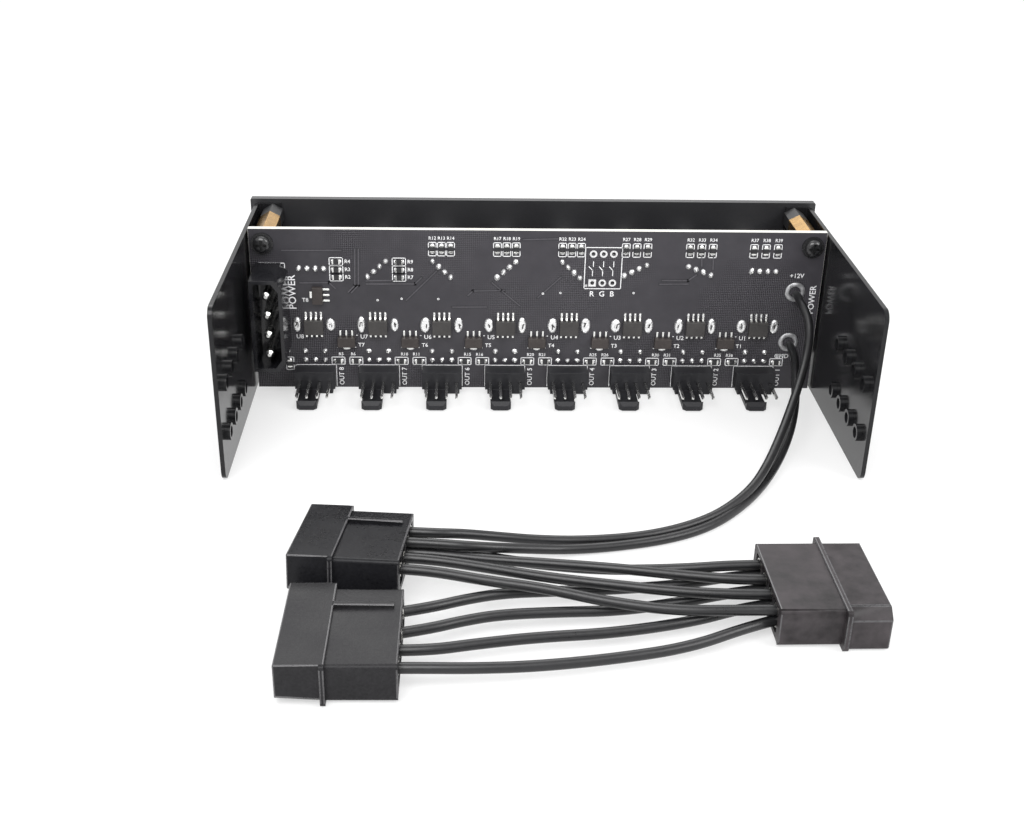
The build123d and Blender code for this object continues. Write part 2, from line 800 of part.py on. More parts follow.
def wire_routes():
    """Every wire's points, from end to end."""
    plus_x, plus_z = plus_joint
    ground_x, ground_z = ground_joint
    plus = board_exit(plus_joint) + [
        (plus_x + 0.5, -5.9, plus_z - 2.8), (plus_x - 0.2, -9.8, plus_z - 6.4),
        (plus_x - 1.6, -14.8, 17.4), (plus_x - 4.1, -21.3, 14.3), (plus_x - 6.9, -28.3, 11.5),
        (plus_x - 11.1, -36.8, 8.3), (48.9, -45.8, 5.2), (44.0, -52.8, 3.2),
        (36.5, -59.8, 1.8), (28.5, -64.9, 1.1), (18.9, -69.5, 1.1), (6.5, -71.5, 1.1),
        (-3.5, -71.8, 1.4), (-12.0, -73.0, 3.0), (-18.8, -75.3, 5.1),
    ]
    ground = board_exit(ground_joint) + [
        (ground_x - 0.6, -6.9, ground_z - 1.2), (ground_x - 1.7, -12.9, ground_z - 2.9),
        (ground_x - 3.1, -20.3, 8.3), (ground_x - 6.0, -29.8, 5.7), (ground_x - 10.5, -39.8, 3.3),
        (48.9, -48.9, 1.6), (42.5, -57.5, 1.1), (34.0, -66.2, 1.1),
        (23.9, -71.3, 1.1), (11.5, -73.8, 1.1), (2.0, -75.0, 1.4), (-6.0, -77.2, 3.5),
        (-13.0, -80.3, 6.2), (-19.0, -81.9, 7.0),
    ]
    back_runs = [
        [(-15.0, -79.9, 3.5), (-4.0, -83.0, 4.1), (9.0, -85.6, 4.9), (24.0, -87.3, 5.5)],
        [(-14.0, -84.5, 4.8), (-2.0, -86.4, 5.1), (12.0, -88.9, 5.5), (25.0, -91.6, 5.6)],
        [(-14.0, -89.3, 6.4), (-3.0, -92.1, 6.2), (9.0, -95.0, 5.9), (23.0, -97.4, 5.75)],
        [(-14.0, -94.5, 6.9), (-3.0, -97.2, 6.5), (9.0, -101.3, 6.1), (21.5, -103.6, 5.8)],
    ]
    front_runs = [
        [(-18.0, -98.5, 4.6), (-11.0, -94.7, 3.9), (-1.5, -93.6, 3.4), (10.0, -91.9, 3.2),
         (23.0, -89.2, 3.2)],
        [(-19.0, -105.9, 4.1), (-12.0, -102.4, 3.8), (-1.0, -100.2, 3.5), (11.0, -98.4, 3.25),
         (24.0, -94.9, 3.25)],
        [(-16.0, -110.9, 4.0), (-5.0, -107.6, 3.6), (9.0, -104.5, 3.3), (24.0, -100.6, 3.3)],
        [(-17.0, -117.9, 4.1), (-6.0, -116.3, 3.6), (8.0, -113.0, 3.3), (22.5, -108.6, 3.3)],
    ]
    plus_end = wire_exit(back_outlet_lies, 0, outlet_body_height, wire_stack)
    ground_end = wire_exit(back_outlet_lies, 1, outlet_body_height, wire_stack)
    routes = {"wire_plus": plus + plus_end[::-1], "wire_ground": ground + ground_end[::-1]}
    for way in range(way_count):
        inlet_way = way_count - 1 - way
        shift = -wire_stack if way < 2 else 0
        start = wire_exit(back_outlet_lies, way, outlet_body_height, shift)
        end = wire_exit(inlet_lies, inlet_way, inlet_body_height, wire_stack)
        routes[f"wire_back_{way + 1}"] = start + back_runs[way] + end[::-1]
    for way in range(way_count):
        inlet_way = way_count - 1 - way
        shift = wire_stack if way == 0 else 0
        start = wire_exit(front_outlet_lies, way, outlet_body_height, shift)
        end = wire_exit(inlet_lies, inlet_way, inlet_body_height, -wire_stack)
        routes[f"wire_front_{way + 1}"] = start + front_runs[way] + end[::-1]
    return routes


os.makedirs("parts", exist_ok=True)

save("front_panel", make_panel())
save("left_bracket", make_bracket(-1))
save("right_bracket", make_bracket(1))
save("circuit_board", make_board())
save("standoffs", *make_standoff(-1), *make_standoff(1))
screws = [make_screw(side * screw_x, screw_z, board_face, board_back + screw_grip) for side in sides]
screws += [make_screw(side * screw_x, tab_screw_height, tab_face, stud_end) for side in sides]
save("screws", *screws)
save("power_header", make_power_header())
save("power_header_pins", *[make_header_pin(z) for z in header_pin_places()])

fan_pins = []
lamps = []
chips = []
for number, x in enumerate(channel_xs, start=1):
    save(f"potentiometer_{number}", make_pot(x))
    save(f"shaft_{number}", make_shaft(x))
    save(f"knob_{number}", make_knob(x))
    save(f"fan_header_{number}", make_fan_header(x))
    fan_pins += [make_fan_pin(place) for place in pin_places(x)]
    lamps += make_lamp(x, lamp_turns[(number - 1) % len(lamp_turns)])
    chips += make_chip(x)
save("fan_header_pins", *fan_pins)
save("indicator_lamps", *lamps)
save("driver_chips", *chips)

transistors = make_transistor(channel_xs[0] + lone_transistor_shift, lone_transistor_rise, 90)
for x in channel_xs[:-1]:
    transistors += make_transistor(x + channel_pitch / 2, transistor_rise, 0)
save("transistors", *transistors)
save("resistors", *[make_resistor(*place) for place in resistor_places()])
save("wire_joints", make_joint(*plus_joint), make_joint(*ground_joint))

save("inlet_housing", inlet_lies * make_inlet())
save("front_outlet_housing", front_outlet_lies * make_outlet())
save("back_outlet_housing", back_outlet_lies * make_outlet())
contacts = [inlet_lies * make_inlet_contact(place) for place in way_places]
for lies in (front_outlet_lies, back_outlet_lies):
    contacts += [lies * make_outlet_contact(place) for place in way_places]
save("lead_contacts", *contacts)

for name, points in wire_routes().items():
    make_wire(name, points)
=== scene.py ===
import math

import bmesh
import bpy
import numpy as np
from mathutils import Matrix, Vector


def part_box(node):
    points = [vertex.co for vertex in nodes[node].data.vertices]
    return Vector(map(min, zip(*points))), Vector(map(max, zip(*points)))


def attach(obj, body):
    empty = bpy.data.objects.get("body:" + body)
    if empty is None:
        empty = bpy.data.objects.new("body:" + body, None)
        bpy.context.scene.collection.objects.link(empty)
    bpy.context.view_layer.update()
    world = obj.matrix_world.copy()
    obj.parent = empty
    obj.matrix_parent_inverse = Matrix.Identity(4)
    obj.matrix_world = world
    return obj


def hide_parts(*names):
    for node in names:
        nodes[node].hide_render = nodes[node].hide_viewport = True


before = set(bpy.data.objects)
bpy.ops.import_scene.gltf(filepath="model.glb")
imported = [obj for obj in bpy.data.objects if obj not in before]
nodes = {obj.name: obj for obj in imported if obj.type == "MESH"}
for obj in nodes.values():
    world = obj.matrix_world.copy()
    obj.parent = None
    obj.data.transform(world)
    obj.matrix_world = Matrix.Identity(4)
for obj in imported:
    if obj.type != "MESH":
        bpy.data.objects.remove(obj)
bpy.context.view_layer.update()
mm = 0.001
print("frame loaded:", len(nodes), "nodes")


def addObject(name, data):
    made = bpy.data.objects.new(name, data)
    bpy.context.scene.collection.objects.link(made)
    return made


# camera, as the photograph was taken
photoView = {
    "focalPixels": 1323.54, "imageWidth": 1024, "sensor": 36.0,
    "pitch": 0.4665, "roll": 0.0211, "yaw": 0.0419,
    "place": (-18.961, -306.034, 148.581),
}


def aimCamera(view):
    # forward from yaw and pitch, then the picture turned by roll about it
    cp, sp = math.cos(view["pitch"]), math.sin(view["pitch"])
    cy, sy = math.cos(view["yaw"]), math.sin(view["yaw"])
    forward = np.array([sy * cp, cy * cp, -sp])
    right = np.array([cy, -sy, 0.0])
    up = np.cross(right, forward)
    cr, sr = math.cos(view["roll"]), math.sin(view["roll"])
    columns = [cr * right + sr * up, cr * up - sr * right, -forward]
    data = bpy.data.cameras.new("photoCamera")
    data.sensor_width = view["sensor"]
    data.lens = view["focalPixels"] / view["imageWidth"] * view["sensor"]
    data.clip_start = 0.01
    camera = addObject("photoCamera", data)
    place = Matrix(np.array(columns).T.tolist()).to_4x4()
    place.translation = [c * mm for c in view["place"]]
    camera.matrix_world = place
    bpy.context.scene.camera = camera


aimCamera(photoView)
print("camera placed")

# where things are, in millimetres, read off the frame
boardLow, boardHigh = [np.array(c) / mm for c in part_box("circuit_board")]
faceY = boardLow[1]  # the soldered face
boardTop = boardHigh[2]
channelXs = [float(sum(c[0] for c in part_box(f"fan_header_{i}")) / 2 / mm) for i in range(1, 9)]
shaftZ = float(sum(c[2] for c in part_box("shaft_1")) / 2 / mm)
rng = np.random.default_rng(11)


# materials
def startMaterial(name, colour, rough, metal=0.0, specular=0.5):
    mat = bpy.data.materials.new(name)
    mat.use_nodes = True
    shader = mat.node_tree.nodes["Principled BSDF"]
    shader.inputs["Base Color"].default_value = (*colour, 1.0)
    shader.inputs["Roughness"].default_value = rough
    shader.inputs["Metallic"].default_value = metal
    shader.inputs["Specular IOR Level"].default_value = specular
    return mat, mat.node_tree, shader


def addNode(tree, kind, inputs=None, **settings):
    node = tree.nodes.new(kind)
    for key, value in settings.items():
        setattr(node, key, value)
    for key, value in (inputs or {}).items():
        if isinstance(value, bpy.types.NodeSocket):
            tree.links.new(value, node.inputs[key])
        else:
            node.inputs[key].default_value = value
    return node


def objectCoords(tree):
    return addNode(tree, "ShaderNodeTexCoord").outputs["Object"]


def blendColours(tree, factor, dark, light):
    # dark where the factor is 0, light where it is 1; either may be a socket
    ends = [c if isinstance(c, bpy.types.NodeSocket) else (*c, 1.0) for c in (dark, light)]
    return addNode(tree, "ShaderNodeMix", {0: factor, 6: ends[0], 7: ends[1]}, data_type="RGBA").outputs[2]


def calculate(tree, operation, first, second=0.0):
    return addNode(tree, "ShaderNodeMath", {0: first, 1: second}, operation=operation).outputs[0]


# what a finish has unless it says otherwise, and how the two noises are mixed and stretched
commonFinish = {"vary": 0.25, "roughVary": 0.08, "bump": 0.1, "depth": 0.0001, "metal": 0.0, "specular": 0.5,
                "grainShare": 0.45, "patchShare": 0.55, "noiseLow": 0.3, "noiseHigh": 0.7}


def cloud(tree, where, scale, detail):
    return addNode(tree, "ShaderNodeTexNoise", {"Vector": where, "Scale": scale, "Detail": detail}).outputs["Fac"]


def shades(colour, vary):
    return [c * (1 - vary) for c in colour], [min(1.0, c * (1 + vary)) for c in colour]


def grained(name, colour, rough, grain, patch, own):
    # colour, roughness and bump all follow two noises: a fine grain and broad patches
    finish = {**commonFinish, **own}
    low, high, swing = finish["noiseLow"], finish["noiseHigh"], finish["roughVary"]
    mat, tree, shader = startMaterial(name, colour, rough, finish["metal"], finish["specular"])
    where = objectCoords(tree)
    fine, broad = cloud(tree, where, grain, 4.0), cloud(tree, where, patch, 3.0)
    both = calculate(tree, "ADD", calculate(tree, "MULTIPLY", fine, finish["grainShare"]),
                     calculate(tree, "MULTIPLY", broad, finish["patchShare"]))
    spread = addNode(tree, "ShaderNodeMapRange", {0: both, 1: low, 2: high})
    tone = blendColours(tree, spread.outputs[0], *shades(colour, finish["vary"]))
    tree.links.new(tone, shader.inputs["Base Color"])
    polish = addNode(tree, "ShaderNodeMapRange", {0: both, 1: low, 2: high, 3: max(0.02, rough - swing),
                                                  4: rough + swing})
    tree.links.new(polish.outputs[0], shader.inputs["Roughness"])
    bump = addNode(tree, "ShaderNodeBump", {"Strength": finish["bump"], "Distance": finish["depth"], "Height": fine})
    tree.links.new(bump.outputs[0], shader.inputs["Normal"])
    return mat


# colour, roughness, scale of the grain, scale of the patches, and what differs from the common finish
finishes = {
    "panelBlack": ((0.018, 0.018, 0.02), 0.42, 2600, 60, {"bump": 0.15}),
    "bracketGloss": ((0.011, 0.011, 0.012), 0.16, 900, 45,
                     {"vary": 0.2, "roughVary": 0.04, "bump": 0.012, "specular": 0.25}),
    "screwBlack": ((0.016, 0.016, 0.017), 0.2, 3000, 300,
                   {"vary": 0.3, "roughVary": 0.06, "bump": 0.04, "specular": 0.6}),
    "headerBlack": ((0.021, 0.021, 0.0235), 0.42, 2200, 140, {"bump": 0.08, "specular": 0.2}),
    "headerGloss": ((0.011, 0.011, 0.013), 0.14, 2200, 140, {"roughVary": 0.05, "bump": 0.03, "specular": 0.4}),
    "tinnedPin": ((0.8, 0.8, 0.78), 0.2, 2500, 300, {"vary": 0.12, "metal": 1.0}),
    "brightSolder": ((0.9, 0.9, 0.91), 0.27, 1500, 500,
                     {"vary": 0.12, "roughVary": 0.12, "bump": 0.5, "depth": 0.0004, "metal": 0.8}),
    "padTin": ((0.4, 0.4, 0.41), 0.42, 1500, 700,
               {"vary": 0.3, "roughVary": 0.14, "bump": 0.25, "depth": 0.0003, "metal": 0.55}),
    # painted dark reflection: the colour of the dark lines laid on the lugs' solder
    "fluxDark": ((0.03, 0.028, 0.028), 0.4, 2500, 600, {"vary": 0.3, "roughVary": 0.1, "bump": 0.2, "depth": 0.0002}),
    "housingBlack": ((0.017, 0.0165, 0.018), 0.4, 1700, 110,
                     {"vary": 0.4, "roughVary": 0.14, "bump": 0.16, "depth": 0.0002, "specular": 0.16}),
    # painted shade: a darker copy of the housing finish for the back outlet, which stands in the front outlet's shade
    "housingShaded": ((0.009, 0.009, 0.0105), 0.32, 1700, 90,
                    {"vary": 0.4, "roughVary": 0.14, "depth": 0.0002, "specular": 0.16}),
    # painted highlight: a paler grey for the rounded long edges of the housings
    "housingEdgeHighlight": ((0.06, 0.058, 0.061), 0.3, 1700, 160, {"vary": 0.5, "roughVary": 0.1, "depth": 0.0002}),
    "housingScuffed": ((0.036, 0.0315, 0.0335), 0.42, 420, 75,
                       {"vary": 0.75, "roughVary": 0.16, "depth": 0.0002, "specular": 0.22}),
    "traceLacquer": ((0.07, 0.066, 0.075), 0.36, 1800, 90, {"bump": 0.05, "specular": 0.4}),
    "gapLacquer": ((0.025, 0.024, 0.028), 0.36, 1800, 90, {"bump": 0.05, "specular": 0.4}),
    "contactTin": ((0.76, 0.75, 0.72), 0.3, 1500, 220, {"vary": 0.15, "roughVary": 0.1, "bump": 0.12, "metal": 1.0}),
    "potBody": ((0.035, 0.05, 0.04), 0.5, 1600, 150, {"roughVary": 0.1, "bump": 0.15}),
    "shaftMetal": ((0.7, 0.7, 0.7), 0.3, 2400, 120, {"vary": 0.1, "roughVary": 0.1, "bump": 0.08, "metal": 1.0}),
    "knobBlack": ((0.022, 0.022, 0.024), 0.4, 2600, 180, {"bump": 0.12}),
    "pointerWhite": ((0.82, 0.82, 0.8), 0.5, 2600, 200, {"vary": 0.06, "roughVary": 0.06, "bump": 0.08}),
    "silkWhite": ((0.83, 0.83, 0.84), 0.55, 3800, 420, {"vary": 0.12}),
    "chipGrey": ((0.046, 0.043, 0.042), 0.5, 3000, 240, {"bump": 0.2, "specular": 0.35}),
    "transistorBrown": ((0.043, 0.036, 0.034), 0.5, 3000, 240, {"vary": 0.3, "bump": 0.2, "specular": 0.35}),
    "resistorBlack": ((0.02, 0.02, 0.022), 0.4, 3000, 240, {"vary": 0.2, "bump": 0.15}),
    "wireSkin": ((0.012, 0.012, 0.013), 0.33, 1400, 90, {"bump": 0.06, "specular": 0.45}),
}
mats = {name: grained(name, *row) for name, row in finishes.items()}


# the board: dark lacquer over hatched copper, with a pale bare edge
boardFinish = {"light": (0.06, 0.056, 0.065), "dark": (0.021, 0.02, 0.024), "edge": (0.7, 0.69, 0.64),
               "rough": 0.36, "specular": 0.4, "hatchPitch": 0.00068, "hatchBump": 0.8, "hatchShade": 1.0,
               "patchScale": 38.0, "patchLow": 0.45, "patchHigh": 0.55, "shadeScale": 16.0, "shadeShare": 1.2,
               "smearScale": 260.0, "smearShare": 0.55, "darkest": 0.35, "lightest": 1.4, "edgeBand": 0.03,
               "roughScale": 1800.0, "roughVary": 0.08}


def makeBoardMaterial(finish):
    # hatch = sin(x + z) times sin(x - z), shown only where broad noise says the copper is hatched;
    # the shade under it drifts with two wider noises
    mat, tree, shader = startMaterial("boardLacquer", finish["light"], finish["rough"], specular=finish["specular"])
    where = objectCoords(tree)
    axes = addNode(tree, "ShaderNodeSeparateXYZ", {0: where})
    x, z = axes.outputs[0], axes.outputs[2]
    turns = 2 * math.pi / finish["hatchPitch"] / math.sqrt(2)
    rising = calculate(tree, "SINE", calculate(tree, "MULTIPLY", calculate(tree, "ADD", x, z), turns))
    falling = calculate(tree, "SINE", calculate(tree, "MULTIPLY", calculate(tree, "SUBTRACT", x, z), turns))
    hatch = calculate(tree, "MULTIPLY", rising, falling)
    copper = cloud(tree, where, finish["patchScale"], 2.0)
    shown = addNode(tree, "ShaderNodeMapRange", {0: copper, 1: finish["patchLow"], 2: finish["patchHigh"]})
    height = calculate(tree, "MULTIPLY", hatch, shown.outputs[0])
    wide = calculate(tree, "MULTIPLY", cloud(tree, where, finish["shadeScale"], 2.0), finish["shadeShare"])
    smear = calculate(tree, "MULTIPLY", cloud(tree, where, finish["smearScale"], 4.0), finish["smearShare"])
    drift = calculate(tree, "ADD", wide, smear)
    level = calculate(tree, "ADD", drift, calculate(tree, "MULTIPLY", height, finish["hatchShade"]))
    shade = addNode(tree, "ShaderNodeMapRange", {0: level, 1: finish["darkest"], 2: finish["lightest"]})
    lacquer = blendColours(tree, shade.outputs[0], finish["dark"], finish["light"])
    nearTop = calculate(tree, "GREATER_THAN", z, (boardTop - finish["edgeBand"]) * mm)
    fromMiddle = calculate(tree, "ABSOLUTE", x)
    nearSide = calculate(tree, "GREATER_THAN", fromMiddle, (boardHigh[0] - finish["edgeBand"]) * mm)
    edge = calculate(tree, "MAXIMUM", nearTop, nearSide)
    tree.links.new(blendColours(tree, edge, lacquer, finish["edge"]), shader.inputs["Base Color"])
    rough = addNode(tree, "ShaderNodeMapRange", {
        0: cloud(tree, where, finish["roughScale"], 3.0), 1: commonFinish["noiseLow"], 2: commonFinish["noiseHigh"],
        3: finish["rough"] - finish["roughVary"], 4: finish["rough"] + finish["roughVary"]})
    tree.links.new(rough.outputs[0], shader.inputs["Roughness"])
    bump = addNode(tree, "ShaderNodeBump", {"Strength": finish["hatchBump"], "Distance": commonFinish["depth"],
                                            "Height": height})
    tree.links.new(bump.outputs[0], shader.inputs["Normal"])
    return mat


mats["boardLacquer"] = makeBoardMaterial(boardFinish)

# pieces whose finish changes at a place along Y: lamps are tinned up to the lens, standoffs dark past the brass
splitFinishes = {
    "milkyLamp": {"node": "indicator_lamps", "fromFar": 8.65, "patch": 700, "vary": 0.06,
                  "near": {"colour": (0.75, 0.75, 0.73), "rough": 0.25, "metal": 1.0},
                  "far": {"colour": (0.86, 0.86, 0.84), "rough": 0.22, "metal": 0.0}},
    "turnedBrass": {"node": "standoffs", "fromFar": 8.9, "patch": 420, "vary": 0.4,
                    "near": {"colour": (0.44, 0.27, 0.1), "rough": 0.26, "metal": 1.0},
                    "far": {"colour": (0.008, 0.008, 0.009), "rough": 0.5, "metal": 0.0}},
}


def makeSplitMaterial(name, finish):
    # near finish up to the place, far finish past it, both clouded by one noise
    near, far = finish["near"], finish["far"]
    mat, tree, shader = startMaterial(name, near["colour"], near["rough"])
    where = objectCoords(tree)
    y = addNode(tree, "ShaderNodeSeparateXYZ", {0: where}).outputs[1]
    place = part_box(finish["node"])[1][1] - finish["fromFar"] * mm
    past = calculate(tree, "GREATER_THAN", y, place)
    patches = cloud(tree, where, finish["patch"], 3.0)
    tones = [blendColours(tree, patches, *shades(part["colour"], finish["vary"])) for part in (near, far)]
    tree.links.new(blendColours(tree, past, *tones), shader.inputs["Base Color"])
    for key, socket in (("rough", "Roughness"), ("metal", "Metallic")):
        value = addNode(tree, "ShaderNodeMapRange", {0: past, 3: near[key], 4: far[key]})
        tree.links.new(value.outputs[0], shader.inputs[socket])
    return mat


for name, finish in splitFinishes.items():
    mats[name] = makeSplitMaterial(name, finish)
print("materials made:", len(mats))


# mesh tools
creaseAngle = math.radians(38)  # edges that turn more than this are kept sharp or rounded


def putPiece(name, verts, faces, material, body="controller", slot=None, smooth=False, bevel=None):
    # verts in millimetres; faces as lists of corner numbers
    mesh = bpy.data.meshes.new(name)
    mesh.from_pydata((np.asarray(verts, float) * mm).tolist(), [], faces)
    mesh.update()
    mesh.materials.append(mats[material])
    if smooth:
        mesh.shade_smooth()
    else:
        mesh.shade_flat()
    piece = addObject(name, mesh)
    if bevel:
        addBevel(piece, bevel)
    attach(piece, body)
    return piece


def addBevel(piece, width, edge=None):
    rounding = piece.modifiers.new("rounding", "BEVEL")
    rounding.width = width * mm
    rounding.segments = 2
    rounding.limit_method = "ANGLE"
    rounding.angle_limit = creaseAngle
    rounding.harden_normals = True
    # with an edge material, the rounded faces take it as a second material: a paler colour painted on as the highlight
    # of the rounded edges
    if edge:
        piece.data.materials.append(mats[edge])
        rounding.material = 1
        rounding.limit_method = "WEIGHT"
        rounding.use_clamp_overlap = False
        piece.modifiers.new("flatFaces", "WEIGHTED_NORMAL").keep_sharp = True


def joinParts(parts):
    # parts is a list of (verts, faces); corner numbers move on by the verts before them
    verts, faces, start = [], [], 0
    for partVerts, partFaces in parts:
        verts.append(np.asarray(partVerts, float))
        faces += [[int(c) + start for c in face] for face in partFaces]
        start += len(partVerts)
    return np.vstack(verts), faces


def rowQuads(rows, n):
    # faces between each row of n points and the next; every row closes on itself
    return [[r * n + k, r * n + (k + 1) % n, (r + 1) * n + (k + 1) % n, (r + 1) * n + k]
            for r in range(rows - 1) for k in range(n)]


boxCorners = np.array([[x, y, z] for x in (-1, 1) for y in (-1, 1) for z in (-1, 1)], float)
boxFaces = np.array([[0, 1, 3, 2], [4, 6, 7, 5], [0, 4, 5, 1], [2, 3, 7, 6], [0, 2, 6, 4], [1, 5, 7, 3]])


def boxes(centres, halves):
    # every corner of every box at once: centre plus a sign pattern times the half sizes
    centres, halves = np.asarray(centres, float), np.asarray(halves, float)
    verts = centres[:, None, :] + boxCorners[None] * halves[:, None, :]
    faces = boxFaces[None] + 8 * np.arange(len(centres))[:, None, None]
    return verts.reshape(-1, 3), faces.reshape(-1, 4).tolist()


def domes(centres, radii, heights, turns, rings=5, spokes=14, power=1.6, dimple=0.0, dimpleWidth=0.35, sink=0.02):
    # a mound on the board's face: out = height * (1 - t^power), sunk a little in the middle by dimple,
    # at radius share t from 0 to 1, on an ellipse turned in the board's plane
    centres, radii = np.asarray(centres, float), np.asarray(radii, float)
    share = np.linspace(1, 0, rings + 1)[:-1]
    angle = np.linspace(0, 2 * math.pi, spokes, endpoint=False)
    u = np.append((share[:, None] * np.cos(angle)).ravel(), 0.0)
    v = np.append((share[:, None] * np.sin(angle)).ravel(), 0.0)
    t = np.append(np.repeat(share, spokes), 0.0)
    out = (1 - t ** power) - dimple * np.exp(-(t / dimpleWidth) ** 2)
    a = u[None] * radii[:, :1]
    b = v[None] * radii[:, 1:]
    turn = np.radians(np.asarray(turns, float))[:, None]
    x = centres[:, :1] + a * np.cos(turn) - b * np.sin(turn)
    z = centres[:, 1:] + a * np.sin(turn) + b * np.cos(turn)
    y = faceY + sink - np.asarray(heights, float)[:, None] * out[None] - sink * (t < 1)
    verts = np.stack([x, y, z], axis=2)
    each = rings * spokes + 1
    last = (rings - 1) * spokes
    fan = [[last + s, last + (s + 1) % spokes, each - 1] for s in range(spokes)]
    base = [list(range(spokes))[::-1]]
    template = rowQuads(rings, spokes) + fan + base
    faces = [[c + each * k for c in face] for k in range(len(centres)) for face in template]
    return verts.reshape(-1, 3), faces


# long edges of the housings are rounded and take the painted highlight; shorter ones stay crisp
litEdgeLength = 3.0  # shorter edges of the housings stay crisp


def softCopy(node, material, width, edge=None):
    # a welded copy of a CAD node with its flat faces joined and its edges rounded
    mesh = nodes[node].data.copy()
    mesh.name = node + "Soft"
    work = bmesh.new()
    work.from_mesh(mesh)
    bmesh.ops.remove_doubles(work, verts=work.verts, dist=1e-6)
    bmesh.ops.dissolve_limit(work, angle_limit=math.radians(1.0), verts=work.verts, edges=work.edges)
    if edge:  # only the long outer corners are rounded, and their rounded faces are painted paler as a painted highlight
        litEdgeWeight = work.edges.layers.float.new("bevel_weight_edge")
        for corner in work.edges:
            isLong = corner.calc_length() > litEdgeLength * mm
            corner[litEdgeWeight] = float(corner.is_convex and corner.calc_face_angle(0.0) > creaseAngle and isLong)
    work.to_mesh(mesh)
    work.free()
    mesh.materials.clear()
    mesh.materials.append(mats[material])
    mesh.shade_smooth()
    mesh.set_sharp_from_angle(angle=creaseAngle)
    piece = addObject(node + "Soft", mesh)
    addBevel(piece, width, edge)
    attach(piece, "controller")
    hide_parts(node)
    return piece


def dress(node, material):
    nodes[node].data.materials.clear()
    nodes[node].data.materials.append(mats[material])


# CAD nodes that keep their own shape
plainNodes = {
    "front_panel": "panelBlack", "left_bracket": "bracketGloss", "right_bracket": "bracketGloss",
    "circuit_board": "boardLacquer", "standoffs": "turnedBrass", "screws": "screwBlack",
    "power_header_pins": "tinnedPin", "fan_header_pins": "tinnedPin", "indicator_lamps": "milkyLamp",
    "lead_contacts": "contactTin",
}
for number in range(1, 9):
    plainNodes[f"potentiometer_{number}"] = "potBody"
    plainNodes[f"shaft_{number}"] = "shaftMetal"
for node, material in plainNodes.items():
    dress(node, material)

# moulded pieces, with the small radius of their edges
moulded = {"power_header": 0.15, "inlet_housing": 0.28, "front_outlet_housing": 0.28, "back_outlet_housing": 0.28}
for number in range(1, 9):
    moulded[f"fan_header_{number}"] = 0.12
soft = {}
for node, radius in moulded.items():
    isHeader = "header" in node
    soft[node] = softCopy(node, "headerBlack" if isHeader else "housingBlack", radius,
                          edge=None if isHeader else "housingEdgeHighlight")
soft["power_header"].data.materials[0] = mats["headerGloss"]
soft["inlet_housing"].data.materials[0] = mats["housingScuffed"]
# the back outlet takes the darker copy of the housing finish as painted shade
soft["back_outlet_housing"].data.materials[0] = mats["housingShaded"]
print("moulded pieces:", len(soft))

